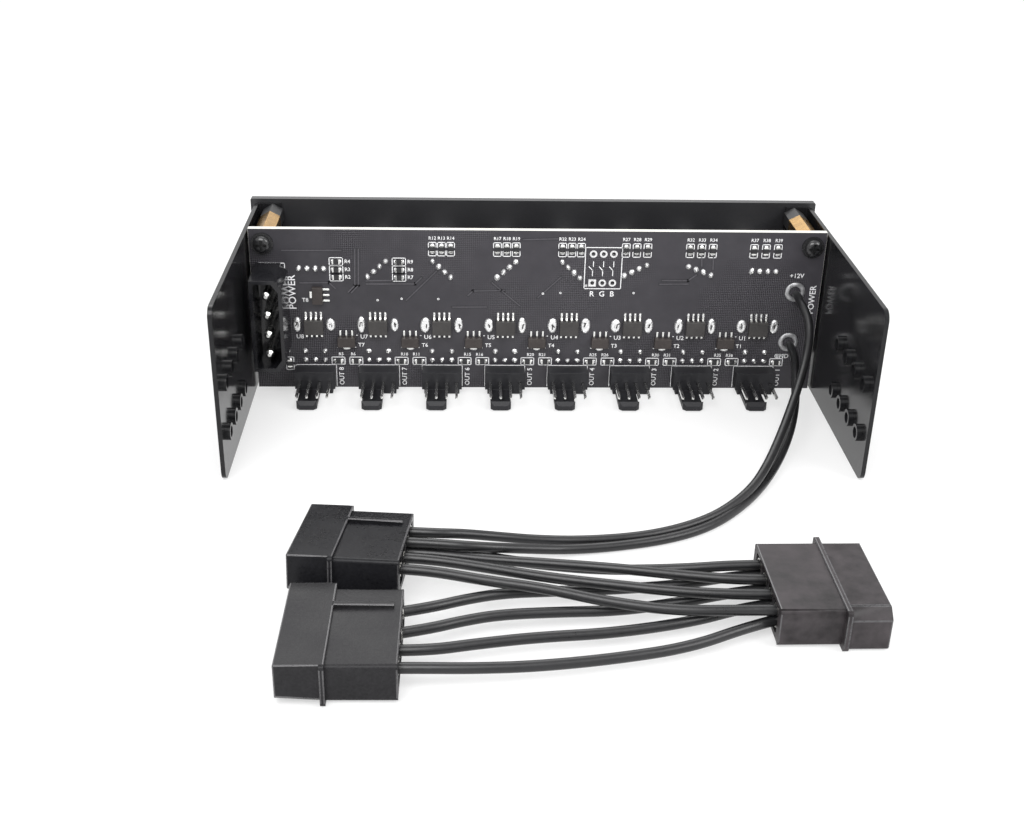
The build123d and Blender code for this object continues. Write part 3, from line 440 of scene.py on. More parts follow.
# wires of the power lead: the routes, in millimetres
wireSizes = {"diameter": 2.1, "roundness": 5, "steps": 14}
routes = {
    "wire_plus": [
        (65.1, 3.1, 27.0), (65.1, -1.9, 27.0), (66.4, -5.9, 24.2), (66.2, -9.8, 20.6), (64.6, -14.8, 17.2),
        (61.9, -21.3, 14.1), (58.8, -28.3, 11.4), (54.6, -37.2, 8.0), (49.8, -46.4, 4.9), (45.0, -53.6, 2.9),
        (37.3, -61.2, 1.6), (29.0, -66.2, 1.1), (18.9, -70.1, 1.1), (6.5, -71.7, 1.1), (-3.5, -71.8, 1.4),
        (-12.0, -73.0, 3.0), (-18.8, -75.3, 5.1), (-24.3, -76.97, 6.29), (-29.88, -76.48, 6.29)],
    "wire_ground": [
        (64.9, 3.1, 13.2), (64.9, -1.9, 13.2), (64.3, -6.9, 12.0), (63.2, -12.9, 10.3), (61.8, -20.3, 8.3),
        (58.9, -29.8, 5.7), (54.4, -39.8, 3.3), (48.9, -48.9, 1.6), (42.5, -57.5, 1.1), (34.0, -66.2, 1.1),
        (23.9, -71.3, 1.1), (11.5, -74.2, 1.1), (2.0, -75.6, 1.4), (-6.0, -78.2, 3.3), (-13.0, -81.2, 5.5),
        (-19.0, -82.5, 6.8), (-24.74, -81.98, 7.0), (-30.32, -81.49, 7.0)],
    "wire_back_1": [
        (-29.91, -76.78, 4.12), (-24.33, -77.27, 4.12), (-15.0, -80.3, 2.9), (-4.0, -84.0, 3.3),
        (9.0, -86.9, 3.8), (24.0, -88.3, 5.0), (34.43, -88.07, 5.7), (40.03, -88.03, 5.7)],
    "wire_back_2": [
        (-30.35, -81.8, 4.82), (-24.77, -82.28, 4.82), (-14.0, -84.5, 4.8), (-2.0, -86.4, 5.1),
        (12.0, -88.9, 5.5), (25.0, -91.6, 5.6), (34.48, -93.15, 5.7), (40.08, -93.1, 5.7)],
    "wire_back_3": [
        (-30.77, -86.65, 6.62), (-25.19, -87.14, 6.62), (-14.0, -89.9, 6.4), (-3.0, -92.9, 6.2),
        (9.0, -95.0, 5.9), (23.0, -97.4, 5.75), (34.52, -98.23, 5.7), (40.12, -98.18, 5.7)],
    "wire_back_4": [
        (-31.21, -91.67, 7.33), (-25.63, -92.15, 7.33), (-14.0, -95.2, 6.9), (-3.0, -97.2, 6.5),
        (9.0, -101.3, 6.1), (21.5, -103.6, 5.8), (34.57, -103.31, 5.7), (40.17, -103.26, 5.7)],
    "wire_front_1": [
        (-30.43, -103.33, 5.55), (-24.9, -101.9, 5.55), (-18.0, -97.8, 4.6), (-11.0, -94.9, 3.9),
        (-1.5, -93.6, 3.4), (10.0, -92.6, 3.1), (23.0, -90.9, 2.9), (34.43, -88.5, 3.4), (40.03, -88.03, 3.5)],
    "wire_front_2": [
        (-30.48, -108.4, 4.45), (-24.9, -107.0, 4.45), (-19.0, -104.2, 4.1), (-12.0, -101.8, 3.8),
        (-1.0, -100.6, 3.5), (11.0, -99.9, 3.25), (24.0, -96.8, 3.2), (34.48, -93.9, 3.4), (40.08, -93.1, 3.5)],
    "wire_front_3": [
        (-30.52, -113.48, 4.45), (-24.92, -113.53, 4.45), (-16.0, -111.0, 4.0), (-5.0, -108.6, 3.6),
        (9.0, -107.0, 3.3), (24.0, -103.6, 3.3), (34.52, -99.3, 3.4), (40.12, -98.18, 3.5)],
    "wire_front_4": [
        (-30.57, -118.56, 4.45), (-24.97, -118.61, 4.45), (-17.0, -118.3, 4.1), (-6.0, -117.2, 3.6),
        (8.0, -114.8, 3.3), (22.5, -111.2, 3.1), (34.57, -105.0, 3.2), (40.17, -103.26, 3.5)],
}
farHousings = {"wire_plus": "back_outlet_housing", "wire_ground": "back_outlet_housing",
               "wire_back": "inlet_housing", "wire_front": "front_outlet_housing"}


def layWire(node, route):
    # one smooth spline pulled by the route's points, with a round section
    curve = bpy.data.curves.new(node + "Cord", "CURVE")
    curve.dimensions = "3D"
    curve.bevel_depth = wireSizes["diameter"] / 2 * mm
    curve.bevel_resolution = wireSizes["roundness"]
    curve.resolution_u = wireSizes["steps"]
    curve.use_fill_caps = True
    spline = curve.splines.new("NURBS")
    spline.points.add(len(route) - 1)
    points = np.column_stack([np.array(route) * mm, np.ones(len(route))])
    spline.points.foreach_set("co", points.ravel())
    spline.order_u = 3
    spline.use_endpoint_u = True
    curve.materials.append(mats["wireSkin"])
    cord = addObject(node + "Cord", curve)
    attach(cord, "controller")
    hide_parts(node)


for node, route in routes.items():
    fromInlet = node.startswith("wire_front")  # these leave the inlet's plug, so they run the other way
    onIt = [soft[housing] for start, housing in farHousings.items() if node.startswith(start)]
    if node == "wire_back_1":
        onIt.append(nodes["lead_contacts"])
    layWire(node, route[::-1] if fromInlet else route)
print("wires laid:", len(routes))

# crimped ears of the contacts, folded over each wire where it goes into its housing
crimpSizes = {"radius": 1.1, "thick": 0.14, "flare": 0.16, "inside": 0.8, "outside": 0.5, "spread": 105, "steps": 15,
              "rows": 5, "cell": 2.7, "crease": 40}


def makeCrimps(s):
    # an arc round the wire carried along it, flared at the outer end; its section is outer arc, then inner arc back
    ends = []
    for node, route in routes.items():
        points = np.array(route)
        if node in ("wire_plus", "wire_ground"):
            ends.append((points[-1], points[-2]))
        else:
            ends += [(points[0], points[1]), (points[-1], points[-2])]
    tips = np.array([end[0] for end in ends])
    angle = np.radians(np.linspace(-s["spread"], s["spread"], s["steps"]))
    along = np.linspace(-s["inside"], s["outside"], s["rows"])
    flare = s["flare"] * (np.arange(s["rows"]) / (s["rows"] - 1)) ** 3
    n = 2 * s["steps"]
    faces = rowQuads(s["rows"], n)
    for row, turned in ((0, True), ((s["rows"] - 1) * n, False)):
        quads = [[row + k, row + k + 1, row + n - 2 - k, row + n - 1 - k] for k in range(s["steps"] - 1)]
        faces += [quad[::-1] if turned else quad for quad in quads]
    parts = []
    for tip, following in ends:
        outward = (following - tip) / np.linalg.norm(following - tip)
        up = np.array([0, 0, 1.0]) - outward[2] * outward
        up /= np.linalg.norm(up)
        side = np.cross(up, outward)
        gap = np.linalg.norm(tips - tip, axis=1)
        mates = tips[(gap > 0.1) & (gap < s["cell"])]
        halves = [1, -1] if not len(mates) else [1 if tip[2] > mates[0][2] else -1]
        for half in halves:
            arc = np.stack([np.sin(angle), half * np.cos(angle)], axis=1)
            radius = s["radius"] + flare[:, None, None]
            outer, inner = (radius + s["thick"]) * arc, (radius * arc)[:, ::-1]
            section = np.concatenate([outer, inner], axis=1)
            verts = (tip + along[:, None, None] * outward + section[..., :1] * side + section[..., 1:] * up)
            parts.append((verts.reshape(-1, 3), faces if half > 0 else [face[::-1] for face in faces]))
    ears = putPiece("crimpEars", *joinParts(parts), "contactTin", slot="contact", smooth=True)
    ears.data.set_sharp_from_angle(angle=math.radians(s["crease"]))


makeCrimps(crimpSizes)
print("crimps folded")

# chips: body, bent leads
chipSizes = {"z": 17.1, "width": 4.8, "height": 3.8, "thick": 1.5, "lift": 0.15, "leadPitch": 1.27,
             "leadWidth": 0.45, "leadThick": 0.2, "toeUp": 2.0, "toeDown": 1.05, "root": -0.1,
             "bend": 0.2, "knee": 0.45}


def makeChips(s):
    centres = [(x, faceY - s["lift"] - s["thick"] / 2, s["z"]) for x in channelXs]
    halves = [(s["width"] / 2, s["thick"] / 2, s["height"] / 2)] * len(centres)
    bodies = putPiece("chipBodies", *boxes(centres, halves), "chipGrey", slot="chip", bevel=0.14)
    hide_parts("driver_chips")
    mid = faceY - s["lift"] - s["thick"] / 2
    half = s["height"] / 2
    # lead path: out of the body's side, down to the board, then along it
    pathY = np.array([mid, mid, faceY - s["leadThick"] / 2, faceY - s["leadThick"] / 2])
    offY = np.array([-0.5, -0.45, -0.35, -0.5]) * s["leadThick"]
    offZ = np.array([0.0, 0.35, 0.35, 0.0]) * s["leadThick"]
    across = np.array([-0.5, 0.5]) * s["leadWidth"]
    faces = rowQuads(4, 4) + [[3, 2, 1, 0], [12, 13, 14, 15]]
    parts = []
    for x in channelXs:
        for side, toe in ((-1, s["toeDown"]), (1, s["toeUp"])):
            pathZ = half + np.array([s["root"], s["bend"], s["knee"], toe])
            for i in range(4):
                leadX = x + (i - 1.5) * s["leadPitch"]
                rows = [(leadX + a, pathY + k * offY, s["z"] + side * (pathZ + k * offZ))
                        for a, k in ((across[0], 1), (across[1], 1), (across[1], -1), (across[0], -1))]
                verts = np.array([[(r[0], r[1][p], r[2][p]) for r in rows] for p in range(4)]).reshape(-1, 3)
                parts.append((verts, [face[::-1] for face in faces] if side > 0 else faces))
    putPiece("chipLeads", *joinParts(parts), "tinnedPin", slot="pin")


makeChips(chipSizes)

# transistors between the channels, and one that lies on its side
transistorSizes = {"z": 13.0, "width": 4.4, "height": 2.6, "thick": 1.5, "leadPitch": 1.5, "leadWidth": 0.5,
                   "leadReach": 1.7, "tabWidth": 1.7, "tabReach": 0.7, "metalThick": 0.4,
                   "loneShift": 1.3, "loneZ": 25.6}
gaps = [(a + b) / 2 for a, b in zip(channelXs, channelXs[1:])]


def makeTransistors(s):
    # every box is a centre and half sizes
    plastic, metal = [], []
    places = [(x, s["z"], False) for x in gaps] + [(channelXs[0] + s["loneShift"], s["loneZ"], True)]
    for x, z, lying in places:
        parts = [(plastic, 0, 0, s["width"], s["height"], s["thick"]),
                 (metal, 0, -(s["height"] + s["tabReach"]) / 2, s["tabWidth"], s["tabReach"], s["metalThick"])]
        parts += [(metal, i * s["leadPitch"], (s["height"] + s["leadReach"]) / 2, s["leadWidth"], s["leadReach"],
                   s["metalThick"]) for i in (-1, 0, 1)]
        for kind, dx, dz, width, height, thick in parts:
            if lying:
                dx, dz, width, height = dz, -dx, height, width
            kind.append(((x + dx, faceY - thick / 2, z + dz), (width / 2, thick / 2, height / 2)))
    bodies = putPiece("transistorBodies", *boxes(*zip(*plastic)), "transistorBrown", slot="chip", bevel=0.14)
    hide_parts("transistors")
    putPiece("transistorLeads", *boxes(*zip(*metal)), "tinnedPin", slot="pin", bevel=0.08)


makeTransistors(transistorSizes)

# resistors: dark body between two tinned ends with solder at each
resistorSizes = {"long": 2.0, "short": 1.25, "thick": 0.5, "cap": 0.4, "fanShift": 5.8, "fanZ": 7.5, "rowZ": 37.9,
                 "rowPitches": [2.25, 2.33, 2.33, 2.7, 2.83, 3.0], "stackShifts": [6.2, 5.6],
                 "stackZs": [34.4, 32.3, 30.3], "lonePlace": (-63.1, 6.8),
                 "clear": 0.02, "blobRadii": (0.42, 0.62)}


def resistorPlaces(s):
    places = [(x + side * s["fanShift"], s["fanZ"], False) for x in channelXs for side in (-1, 1)]
    places[0] = (*s["lonePlace"], True)  # no room to lie beside the power header
    places += [(x + shift, z, False) for x, shift in zip(channelXs, s["stackShifts"]) for z in s["stackZs"]]
    places += [(x + i * pitch, s["rowZ"], True) for x, pitch in zip(channelXs[2:], s["rowPitches"])
               for i in (-1, 0, 1)]
    return places


def makeResistors(s):
    places = resistorPlaces(s)
    plastic, metal, blobs, blobRadii = [], [], [], []
    half = s["thick"] / 2
    for x, z, upright in places:
        reach = np.array([0.0, 1.0] if upright else [1.0, 0.0])
        size = np.array([s["short"], s["long"]] if upright else [s["long"], s["short"]])
        inner = size - reach * 2 * s["cap"]
        plastic.append(((x, faceY - half - s["clear"], z), (inner[0] / 2, half - s["clear"], inner[1] / 2)))
        cap = size * (1 - reach) + reach * s["cap"]
        for side in (-1, 1):
            at = np.array([x, z]) + side * reach * (s["long"] - s["cap"]) / 2
            metal.append(((at[0], faceY - half, at[1]), (cap[0] / 2, half, cap[1] / 2)))
            blobs.append(np.array([x, z]) + side * reach * (s["long"] / 2 + s["clear"]))
            blobRadii.append(s["blobRadii"][::-1] if upright else s["blobRadii"])
    bodies = putPiece("resistorBodies", *boxes(*zip(*plastic)), "resistorBlack", slot="resistor", bevel=0.05)
    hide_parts("resistors")
    putPiece("resistorEnds", *boxes(*zip(*metal)), "tinnedPin", slot="pin", bevel=0.06)
    return places, np.array(blobs), np.array(blobRadii)


resistors, endBlobs, endRadii = makeResistors(resistorSizes)
print("small parts made: chips, transistors, resistors", len(resistors))


def strips(segments, width, thick):
    # each straight line on the board's face is a thin box along its own direction, from one end to the other
    ends = np.asarray(segments, float)
    start, stop = ends[:, :2], ends[:, 2:]
    along = (stop - start) / np.linalg.norm(stop - start, axis=1, keepdims=True) * width / 2
    across = np.column_stack([-along[:, 1], along[:, 0]])
    start, stop = start - along, stop + along
    flat = np.stack([start - across, stop - across, stop + across, start + across], axis=1)
    verts = np.zeros((len(ends), 8, 3))
    verts[:, :4, ::2] = verts[:, 4:, ::2] = flat
    verts[:, :4, 1] = faceY
    verts[:, 4:, 1] = faceY - thick
    sides = [[k, (k + 1) % 4, (k + 1) % 4 + 4, k + 4] for k in range(4)]
    template = np.array(sides + [[3, 2, 1, 0], [4, 5, 6, 7]])
    faces = template[None] + 8 * np.arange(len(ends))[:, None, None]
    return verts.reshape(-1, 3), faces.reshape(-1, 4).tolist()


# solder on the board's face
solderSizes = {"lugShift": 4.2, "lugDrop": 0.1, "lugRadii": (1.22, 2.12), "lugHeight": 0.6,
               "darkLineHalves": (0.15, 0.5), "darkLineLean": 28, "darkLineShift": 0.35, "darkLineRise": 0.98, "hookReach": 0.5,
               "pinRadii": (0.68, 0.74), "pinHeight": 0.75, "lampRadii": (0.72, 0.86), "lampHeight": 0.85,
               "endHeight": 0.34, "footRadii": (0.36, 0.62), "footHeight": 0.3, "footShift": 1.45,
               "tabRadii": (1.05, 0.5), "tabHeight": 0.45, "tabShift": 2.0,
               "tipReach": 0.75, "tipVary": 0.25, "tipHalf": 0.2, "tipSink": 0.1,
               "potPitch": 2.5, "potRows": (7.3, 9.8), "lampZ": 32.5, "lampPitch": 2.05, "vary": 0.14,
               "lampTurns": [-1.0, 42.0, -43.0, 42.0, -43.0, 27.0, -21.0, -1.0]}


def makeSolder(s):
    lugs = np.array([(x + side * s["lugShift"], shaftZ - s["lugDrop"]) for x in channelXs for side in (-1, 1)])
    feet = np.array([(x + (i - 1.5) * chipSizes["leadPitch"], chipSizes["z"] + chipSizes["height"] / 2 + s["footShift"])
                     for x in channelXs for i in range(4)])
    pins = np.array([(x + i * s["potPitch"], shaftZ - row) for x in channelXs
                     for i, row in ((-1, s["potRows"][0]), (1, s["potRows"][0]), (-1, s["potRows"][1]),
                                    (0, s["potRows"][1]), (1, s["potRows"][1]))])
    turns = np.radians(s["lampTurns"])
    steps = (np.arange(4) - 1.5) * s["lampPitch"]
    lamps = np.stack([np.array(channelXs)[:, None] + steps * np.cos(turns)[:, None],
                      s["lampZ"] + steps * np.sin(turns)[:, None]], axis=2).reshape(-1, 2)

    def varied(count, radii):
        return np.array(radii) * (1 + s["vary"] * rng.uniform(-1, 1, (count, 2)))

    tabs = np.array([(x, transistorSizes["z"] - s["tabShift"]) for x in gaps])
    groups = [
        domes(lugs, varied(len(lugs), s["lugRadii"]), s["lugHeight"] * rng.uniform(0.85, 1.2, len(lugs)),
              rng.uniform(-4, 4, len(lugs)), rings=9, spokes=26, power=6.0, dimple=0.35),
        domes(pins, varied(len(pins), s["pinRadii"]), s["pinHeight"] * rng.uniform(0.7, 1.3, len(pins)),
              rng.uniform(0, 180, len(pins)), power=1.2),
        domes(lamps, varied(len(lamps), s["lampRadii"]), s["lampHeight"] * rng.uniform(0.8, 1.3, len(lamps)),
              rng.uniform(-25, 25, len(lamps)), power=1.4),
        domes(endBlobs, endRadii, np.full(len(endBlobs), s["endHeight"]), np.zeros(len(endBlobs)), rings=3,
              spokes=10, power=1.3),
        domes(feet, varied(len(feet), s["footRadii"]), np.full(len(feet), s["footHeight"]),
              rng.uniform(-8, 8, len(feet)), rings=3, spokes=10, power=2.0),
        domes(tabs, varied(len(tabs), s["tabRadii"]), np.full(len(tabs), s["tabHeight"]),
              rng.uniform(-6, 6, len(tabs)), rings=4, spokes=14, power=1.5),
    ]
    putPiece("solderJoints", *joinParts(groups), "brightSolder", slot="solder", smooth=True)
    # painted dark reflection on each lug's solder: a dark line turned at its own angle, with a hook off one end, where
    # the solder's bright glint breaks
    lean = np.radians(90 + rng.uniform(-s["darkLineLean"], s["darkLineLean"], len(lugs)))[:, None]
    reach = s["darkLineHalves"][1] * np.hstack([np.cos(lean), np.sin(lean)])
    shift = rng.uniform(-s["darkLineShift"], s["darkLineShift"], lugs.shape)
    darkLines = np.hstack([lugs - reach + shift, lugs + reach + shift])
    hookEnds = darkLines[:, 2:] + rng.uniform(-s["hookReach"], s["hookReach"], lugs.shape)
    marks = np.vstack([darkLines, np.hstack([darkLines[:, 2:], hookEnds])])
    putPiece("lugDarkLines", *strips(marks, 2 * s["darkLineHalves"][0], s["lugHeight"] * s["darkLineRise"]), "fluxDark", bevel=0.06)
    tips = np.vstack([pins, lamps])
    tipY = faceY - s["tipReach"] - s["tipVary"] * rng.uniform(0, 1, len(tips))
    centres = np.column_stack([tips[:, 0], (faceY + tipY) / 2 - s["tipSink"], tips[:, 1]])
    wide = np.full(len(tips), s["tipHalf"])
    halves = np.column_stack([wide, (faceY - tipY) / 2 + s["tipSink"], wide])
    putPiece("leadTips", *boxes(centres, halves), "tinnedPin", slot="pin", bevel=0.06)


makeSolder(solderSizes)
print("solder made")

# bare tinned rings round the six empty holes, and round the vias
ringSizes = {"xs": [13.5, 16.04, 18.58], "zs": [29.15, 36.8], "inner": 0.5, "outer": 0.95, "thick": 0.05, "spokes": 24,
             "viaInner": 0.12, "viaOuter": 0.3,
             "vias": [(-40.3, 24.2), (-34.3, 24.6), (-25.1, 24.6), (12.0, 28.4), (5.6, 26.4), (1.2, 26.2),
                      (24.1, 26.5)]}

# white print on the board: boxes as x0, z0, x1, z1; words as x, z, height; all shifts from their channel or part
printSizes = {
    "line": 0.2, "thick": 0.03, "label": 0.85, "capShare": 0.72, "fatten": 0.012,
    "fanBox": (-5.1, 0.5, 5.2, 6.35), "fanPart": (1.65, 6.5, 8.5), "fanLabel": (0.75, 9.35),
    "outWord": (6.55, 3.15, 1.25), "chipWord": (-3.6, 14.15, 1.15), "gapWord": (-4.35, 11.9, 1.05),
    "gapLines": [(-2.25, -1.75, -1.2, -1.75), (1.2, -1.75, 2.25, -1.75), (2.6, 1.6, 2.75, 1.6)],
    "bracketHalf": 0.95, "bracketReach": 1.75, "bracketDrop": 0.1, "bracketLeg": 1.25,
    "stackHalves": (1.65, 1.0), "stackFrom": 20, "stackLabel": (2.8, 0.95), "rowLabelZ": 40.6,
    "headerBox": (-69.5, 9.9, -63.05, 33.87), "switchBox": (11.5, 27.6, 20.7, 38.5), "letter": (26.15, 1.45),
    "switchLines": [(0.1, 33.5, 0.1, 34.8), (-0.95, 33.45, -0.05, 32.45), (-0.05, 31.1, -0.05, 32.45)],
    "words": [("R1", -64.9, 6.8, 0.85, 90), ("T8", -58.4, 24.1, 1.05, 0), ("POWER", -61.5, 26.2, 1.9, 90),
              ("POWER", 69.7, 24.9, 1.6, 90), ("+12V", 65.1, 31.3, 1.2, 0), ("GND", 63.6, 9.2, 1.2, 0)],
}


def outline(x0, z0, x1, z1):
    return [(x0, z0, x1, z0), (x1, z0, x1, z1), (x1, z1, x0, z1), (x0, z1, x0, z0)]


def printText(text, x, z, height, turn=0.0):
    # letters filled flat and given the print's thickness, then set on the board's face
    curve = bpy.data.curves.new("word", "FONT")
    curve.body = text
    curve.size = height / printSizes["capShare"]
    curve.align_x, curve.align_y = "CENTER", "CENTER"
    curve.resolution_u = 2
    curve.extrude = printSizes["thick"] / 2
    curve.offset = printSizes["fatten"] * height
    word = addObject("word", curve)
    bpy.context.view_layer.update()
    mesh = bpy.data.meshes.new_from_object(word)
    flat = np.zeros(len(mesh.vertices) * 3)
    mesh.vertices.foreach_get("co", flat)
    flat = flat.reshape(-1, 3)
    faces = [list(p.vertices) for p in mesh.polygons]
    bpy.data.objects.remove(word)
    bpy.data.curves.remove(curve)
    bpy.data.meshes.remove(mesh)
    c, s = math.cos(math.radians(turn)), math.sin(math.radians(turn))
    verts = np.column_stack([x + flat[:, 0] * c - flat[:, 1] * s, faceY - printSizes["thick"] / 2 - flat[:, 2],
                             z + flat[:, 0] * s + flat[:, 1] * c])
    return verts, faces


def makePrint(s):
    lines, words = [], list(s["words"])
    left, low, right, high = s["fanBox"]
    half, bottom, top = s["fanPart"]
    for index, x in enumerate(channelXs):
        number = 8 - index
        lines += [(x + left, high, x + right, high)] + [(x + edge, low, x + edge, high) for edge in (left, right)]
        for word, spot, turn in ((f"OUT {number}", "outWord", 90), (f"U{number}", "chipWord", 0),
                                 (f"T{number}", "gapWord", 0)):
            if index or spot != "gapWord":
                words.append((word, x + s[spot][0], *s[spot][1:], turn))
        for side, label in ((-1, 5 * index + 1), (1, 5 * index + 5)):
            if label > 1:  # the first one stands elsewhere
                middle = x + side * resistorSizes["fanShift"]
                lines += outline(middle - half, bottom, middle + half, top)
                words.append((f"R{label}", middle + side * s["fanLabel"][0], s["fanLabel"][1], s["label"], 0))
    z = transistorSizes["z"]
    lines += [(x + a, z + b, x + c, z + d) for x in gaps for a, b, c, d in s["gapLines"]]
    wide, leg = s["bracketHalf"], s["bracketLeg"]
    for x, z, upright in resistors:
        if upright:
            for end in (-1, 1):
                tip = z - s["bracketDrop"] + end * s["bracketReach"]
                lines.append((x - wide, tip, x + wide, tip))
                lines += [(x + a, tip, x + a, tip - end * leg) for a in (-wide, wide)]
        elif z > s["stackFrom"]:
            dx, dz = s["stackHalves"]
            lines += outline(x - dx, z - dz, x + dx, z + dz)
    for index, pitch in enumerate(resistorSizes["rowPitches"], start=2):
        words += [(f"R{5 * index + 3 + i}", channelXs[index] + i * pitch, s["rowLabelZ"], s["label"], 0)
                  for i in (-1, 0, 1)]
    for index, shift in enumerate(resistorSizes["stackShifts"]):
        words += [(f"R{5 * index + 4 - k}", channelXs[index] + shift + s["stackLabel"][0], z, s["stackLabel"][1], 0)
                  for k, z in enumerate(resistorSizes["stackZs"])]
    lines += outline(*s["headerBox"]) + outline(*s["switchBox"])
    for x, letter in zip(ringSizes["xs"], "RGB"):
        words.append((letter, x, *s["letter"], 0))
        lines += [(x + a, b, x + c, d) for a, b, c, d in s["switchLines"]]
    parts = [strips(lines, s["line"], s["thick"])] + [printText(*word) for word in words]
    putPiece("boardPrint", *joinParts(parts), "silkWhite")
    return len(words)


print("words printed:", makePrint(printSizes))


def circlePoints(spokes):
    angle = np.linspace(0, 2 * math.pi, spokes, endpoint=False)
    return angle, np.stack([np.cos(angle), np.sin(angle)], axis=1)


def ringSolid(x, z, loops):
    # closed round: each loop of flat points at its own rise is joined to the next, and the last to the first
    verts = np.vstack([np.column_stack([x + flat[:, 0], faceY - rise * np.ones(len(flat)), z + flat[:, 1]])
                       for flat, rise in loops])
    return verts, [[c % len(verts) for c in quad] for quad in rowQuads(len(loops) + 1, len(loops[0][0]))]


def makeRings(s):
    # a flat ring with a round hole; the first one is square outside
    circle = circlePoints(s["spokes"])[1]
    square = circle / np.abs(circle).max(axis=1, keepdims=True)
    spots = [(x, z, s["inner"], s["outer"]) for z in s["zs"] for x in s["xs"]]
    spots += [(x, z, s["viaInner"], s["viaOuter"]) for x, z in s["vias"]]
    parts = []
    for k, (x, z, inner, outer) in enumerate(spots):
        rim = (square if k == 0 else circle) * outer
        hole = circle * inner
        parts.append(ringSolid(x, z, [(rim, 0.0), (rim, s["thick"]), (hole, s["thick"]), (hole, 0.0)]))
    putPiece("padRings", *joinParts(parts), "brightSolder", slot="solder")


makeRings(ringSizes)

# wire joints: a flat grey ring of solder with the wire in its middle, uneven round the rim
jointSizes = {"places": [(65.1, 27.0), (64.9, 13.2)], "spokes": 48, "waves": [(2, 0.22, 1.3), (5, 0.16, 1)],
              "profile": [(1.4, 0.0), (1.45, 0.2), (1.75, 0.4), (2.15, 0.36), (2.5, 0.16), (2.6, 0.0)]}


def makeJoints(s):
    # rise = profile times 1 + two slow waves round the ring
    angle, circle = circlePoints(s["spokes"])
    parts = []
    for k, (x, z) in enumerate(s["places"]):
        wave = sum((deep * np.sin(count * angle + step * k) for count, deep, step in s["waves"]), 1)
        parts.append(ringSolid(x, z, [(circle * radius, rise * wave) for radius, rise in s["profile"][::-1]]))
    joints = putPiece("jointRings", *joinParts(parts), "padTin", slot="solder", smooth=True)
    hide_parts("wire_joints")


makeJoints(jointSizes)

# copper tracks under the lacquer: a pale raised line in a dark gap
trackSizes = {"width": 0.3, "gap": 0.8, "thick": 0.03, "gapThick": 0.01, "paths": [
    [(-45.6, 37.6), (-45.9, 28.1), (-47.6, 26.3)], [(-44.7, 37.6), (-45.0, 28.1), (-46.8, 26.2)],
    [(-43.0, 29.4), (-36.4, 29.5)], [(-43.0, 28.5), (-30.9, 28.6), (-29.3, 30.2)], [(-33.1, 24.2), (-25.5, 32.0)],
    [(-17.6, 25.6), (-16.4, 26.8), (-8.5, 27.0)], [(0.0, 25.1), (5.6, 30.6)], [(-4.1, 40.4), (4.6, 40.7)],
    [(30.6, 28.9), (37.7, 29.0)], [(31.2, 29.9), (37.6, 29.9), (39.6, 31.4)], [(40.6, 36.4), (40.8, 33.8)],
    [(43.5, 36.4), (43.7, 32.9)], [(-21.5, 22.4), (-13.0, 22.5)], [(-11.6, 29.0), (-4.6, 22.9)],
    [(-59.5, 28.7), (-52.3, 28.8), (-50.8, 27.3)], [(-63.5, 37.2), (-49.0, 37.3)]]}


def makeTracks(s):
    # each run of a path is a wide dark strip, and a narrow pale one that stands higher
    segments = [(*a, *b) for route in s["paths"] for a, b in zip(route, route[1:])]
    putPiece("trackGaps", *strips(segments, s["gap"], s["gapThick"]), "gapLacquer", slot="board")
    putPiece("trackLines", *strips(segments, s["width"], s["thick"]), "traceLacquer", slot="board")


makeTracks(trackSizes)
print("rings, wire joints and tracks made")

# knobs: a turned skirt and a fluted grip with a white pointer
knobSizes = {"flutes": 20, "fluteDepth": 0.32, "spokes": 160, "crease": 40, "boreDepth": 8.0,
             "pointerWidth": 0.9, "pointers": [(12.8, 2.6, 0.22, 1.8), (7.6, 6.02, 4.6, 0.32)],  # y, z, half sizes
             "profile": [(3.05, 0.0, 0), (6.7, 0.0, 0), (6.9, 0.2, 0), (6.9, 1.9, 0), (6.65, 2.2, 0), (6.35, 2.25, 0),
                         (6.3, 2.7, 1), (6.2, 6.0, 1), (6.05, 11.0, 1), (5.95, 12.3, 1), (5.6, 12.85, 0.3),
                         (5.1, 13.1, 0), (4.6, 13.15, 0), (4.45, 12.95, 0), (0.0, 12.95, 0)]}


def makeKnob(number, s):
    # radius at each height, less a rounded groove that repeats round the grip
    low, high = [np.array(c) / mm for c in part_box(f"knob_{number}")]
    centreX, centreZ = (low[0] + high[0]) / 2, shaftZ
    profile = np.array(s["profile"])
    angle = np.linspace(0, 2 * math.pi, s["spokes"], endpoint=False)
    groove = (0.5 + 0.5 * np.cos(s["flutes"] * angle)) ** 1.5
    radius = profile[:, :1] - profile[:, 2:] * s["fluteDepth"] * groove[None]
    x = centreX + radius * np.sin(angle)
    z = centreZ + radius * np.cos(angle)
    y = np.repeat(low[1] + profile[:, 1:2], s["spokes"], axis=1)
    boreEnd = low[1] + s["boreDepth"]
    bore = np.column_stack([x[0], np.full(s["spokes"], boreEnd), z[0]])  # as wide as where the profile starts
    verts = np.vstack([bore, np.stack([x, y, z], axis=2)[:-1].reshape(-1, 3),
                       [[centreX, boreEnd, centreZ], [centreX, low[1] + profile[-1, 1], centreZ]]])
    n, rows = s["spokes"], len(profile)
    faces = [[a, d, c, b] for a, b, c, d in rowQuads(rows, n)]
    faces += [[i, (i + 1) % n, rows * n] for i in range(n)]
    faces += [[(rows - 1) * n + (i + 1) % n, (rows - 1) * n + i, rows * n + 1] for i in range(n)]
    knob = putPiece(f"knobGrip_{number}", verts, faces, "knobBlack", body=f"control_{number}", slot="knob", smooth=True)
    knob.data.set_sharp_from_angle(angle=math.radians(s["crease"]))
    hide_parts(f"knob_{number}")
    centres = [(centreX, low[1] + y, centreZ + z) for y, z, *_ in s["pointers"]]
    halves = [(s["pointerWidth"] / 2, dy, dz) for *_, dy, dz in s["pointers"]]
    putPiece(f"knobPointer_{number}", *boxes(centres, halves), "pointerWhite", body=f"control_{number}", bevel=0.1)


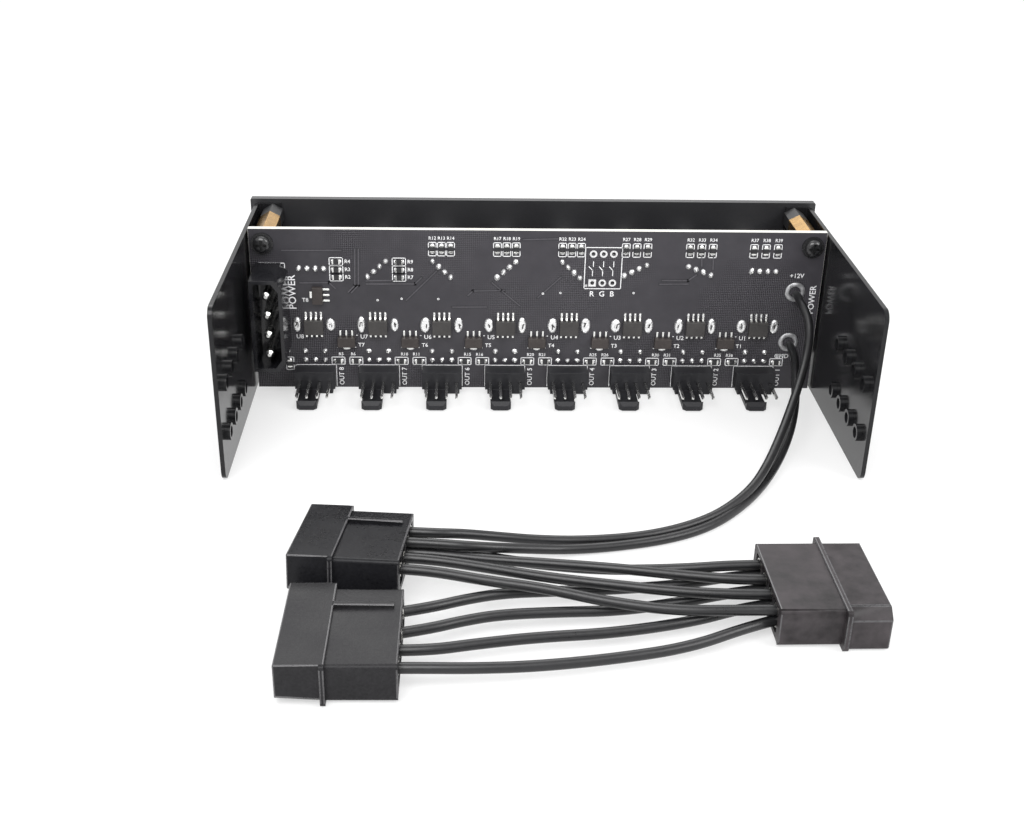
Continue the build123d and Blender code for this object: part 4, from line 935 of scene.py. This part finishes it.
for number in range(1, 9):
    makeKnob(number, knobSizes)
print("knobs made")

# floor, world and lamps
studio = {"floor": (0.86, 0.86, 0.86), "floorGlow": 0.55, "floorReach": 6, "sky": 0.75, "aim": (0, -0.03, 0.02),
          "lamps": [("keyLamp", (-0.15, -0.5, 0.62), 0.5, 4.6), ("rightLamp", (0.55, -0.35, 0.5), 0.4, 2.6),
                    ("rearLamp", (-0.05, 0.5, 0.6), 0.6, 3.0)]}


def seenDirectly(tree):
    # 1 for rays from the camera and for what shiny or clear things show
    path = addNode(tree, "ShaderNodeLightPath")
    shiny = calculate(tree, "MAXIMUM", path.outputs["Is Glossy Ray"], path.outputs["Is Transmission Ray"])
    return calculate(tree, "MAXIMUM", path.outputs["Is Camera Ray"], shiny)


def makeStudio(s):
    world = bpy.data.worlds.new("studioWorld")
    bpy.context.scene.world = world
    world.use_nodes = True
    tree = world.node_tree
    sky = tree.nodes["Background"]
    sky.inputs["Color"].default_value = (1, 1, 1, 1)
    strength = addNode(tree, "ShaderNodeMapRange", {0: seenDirectly(tree), 3: s["sky"], 4: 1.0})
    tree.links.new(strength.outputs[0], sky.inputs["Strength"])

    mesh = bpy.data.meshes.new("studioFloor")
    reach = s["floorReach"]
    corners = [(x * reach, y * reach, 0) for x, y in ((-1, -1), (1, -1), (1, 1), (-1, 1))]
    mesh.from_pydata(corners, [], [(0, 1, 2, 3)])
    floor = addObject("studioFloor", mesh)
    mat, tree, shader = startMaterial("paleFloor", s["floor"], 0.9, specular=0.0)
    glow = addNode(tree, "ShaderNodeEmission", {"Color": (1, 1, 1, 1), "Strength": 1.0})
    share = calculate(tree, "MULTIPLY", seenDirectly(tree), s["floorGlow"])
    mix = addNode(tree, "ShaderNodeMixShader", {0: share, 1: shader.outputs[0], 2: glow.outputs[0]})
    tree.links.new(mix.outputs[0], tree.nodes["Material Output"].inputs["Surface"])
    mesh.materials.append(mat)

    for name, place, size, power in s["lamps"]:
        data = bpy.data.lights.new(name, "AREA")
        data.size = size
        data.energy = power
        lamp = addObject(name, data)
        lamp.location = place
        aim = np.array(s["aim"]) - np.array(place)
        lamp.rotation_mode = "QUATERNION"
        lamp.rotation_quaternion = Vector(aim).to_track_quat("-Z", "Y")


makeStudio(studio)
bpy.context.scene.view_settings.view_transform = "Standard"
print("studio lit")

bpy.context.view_layer.update()
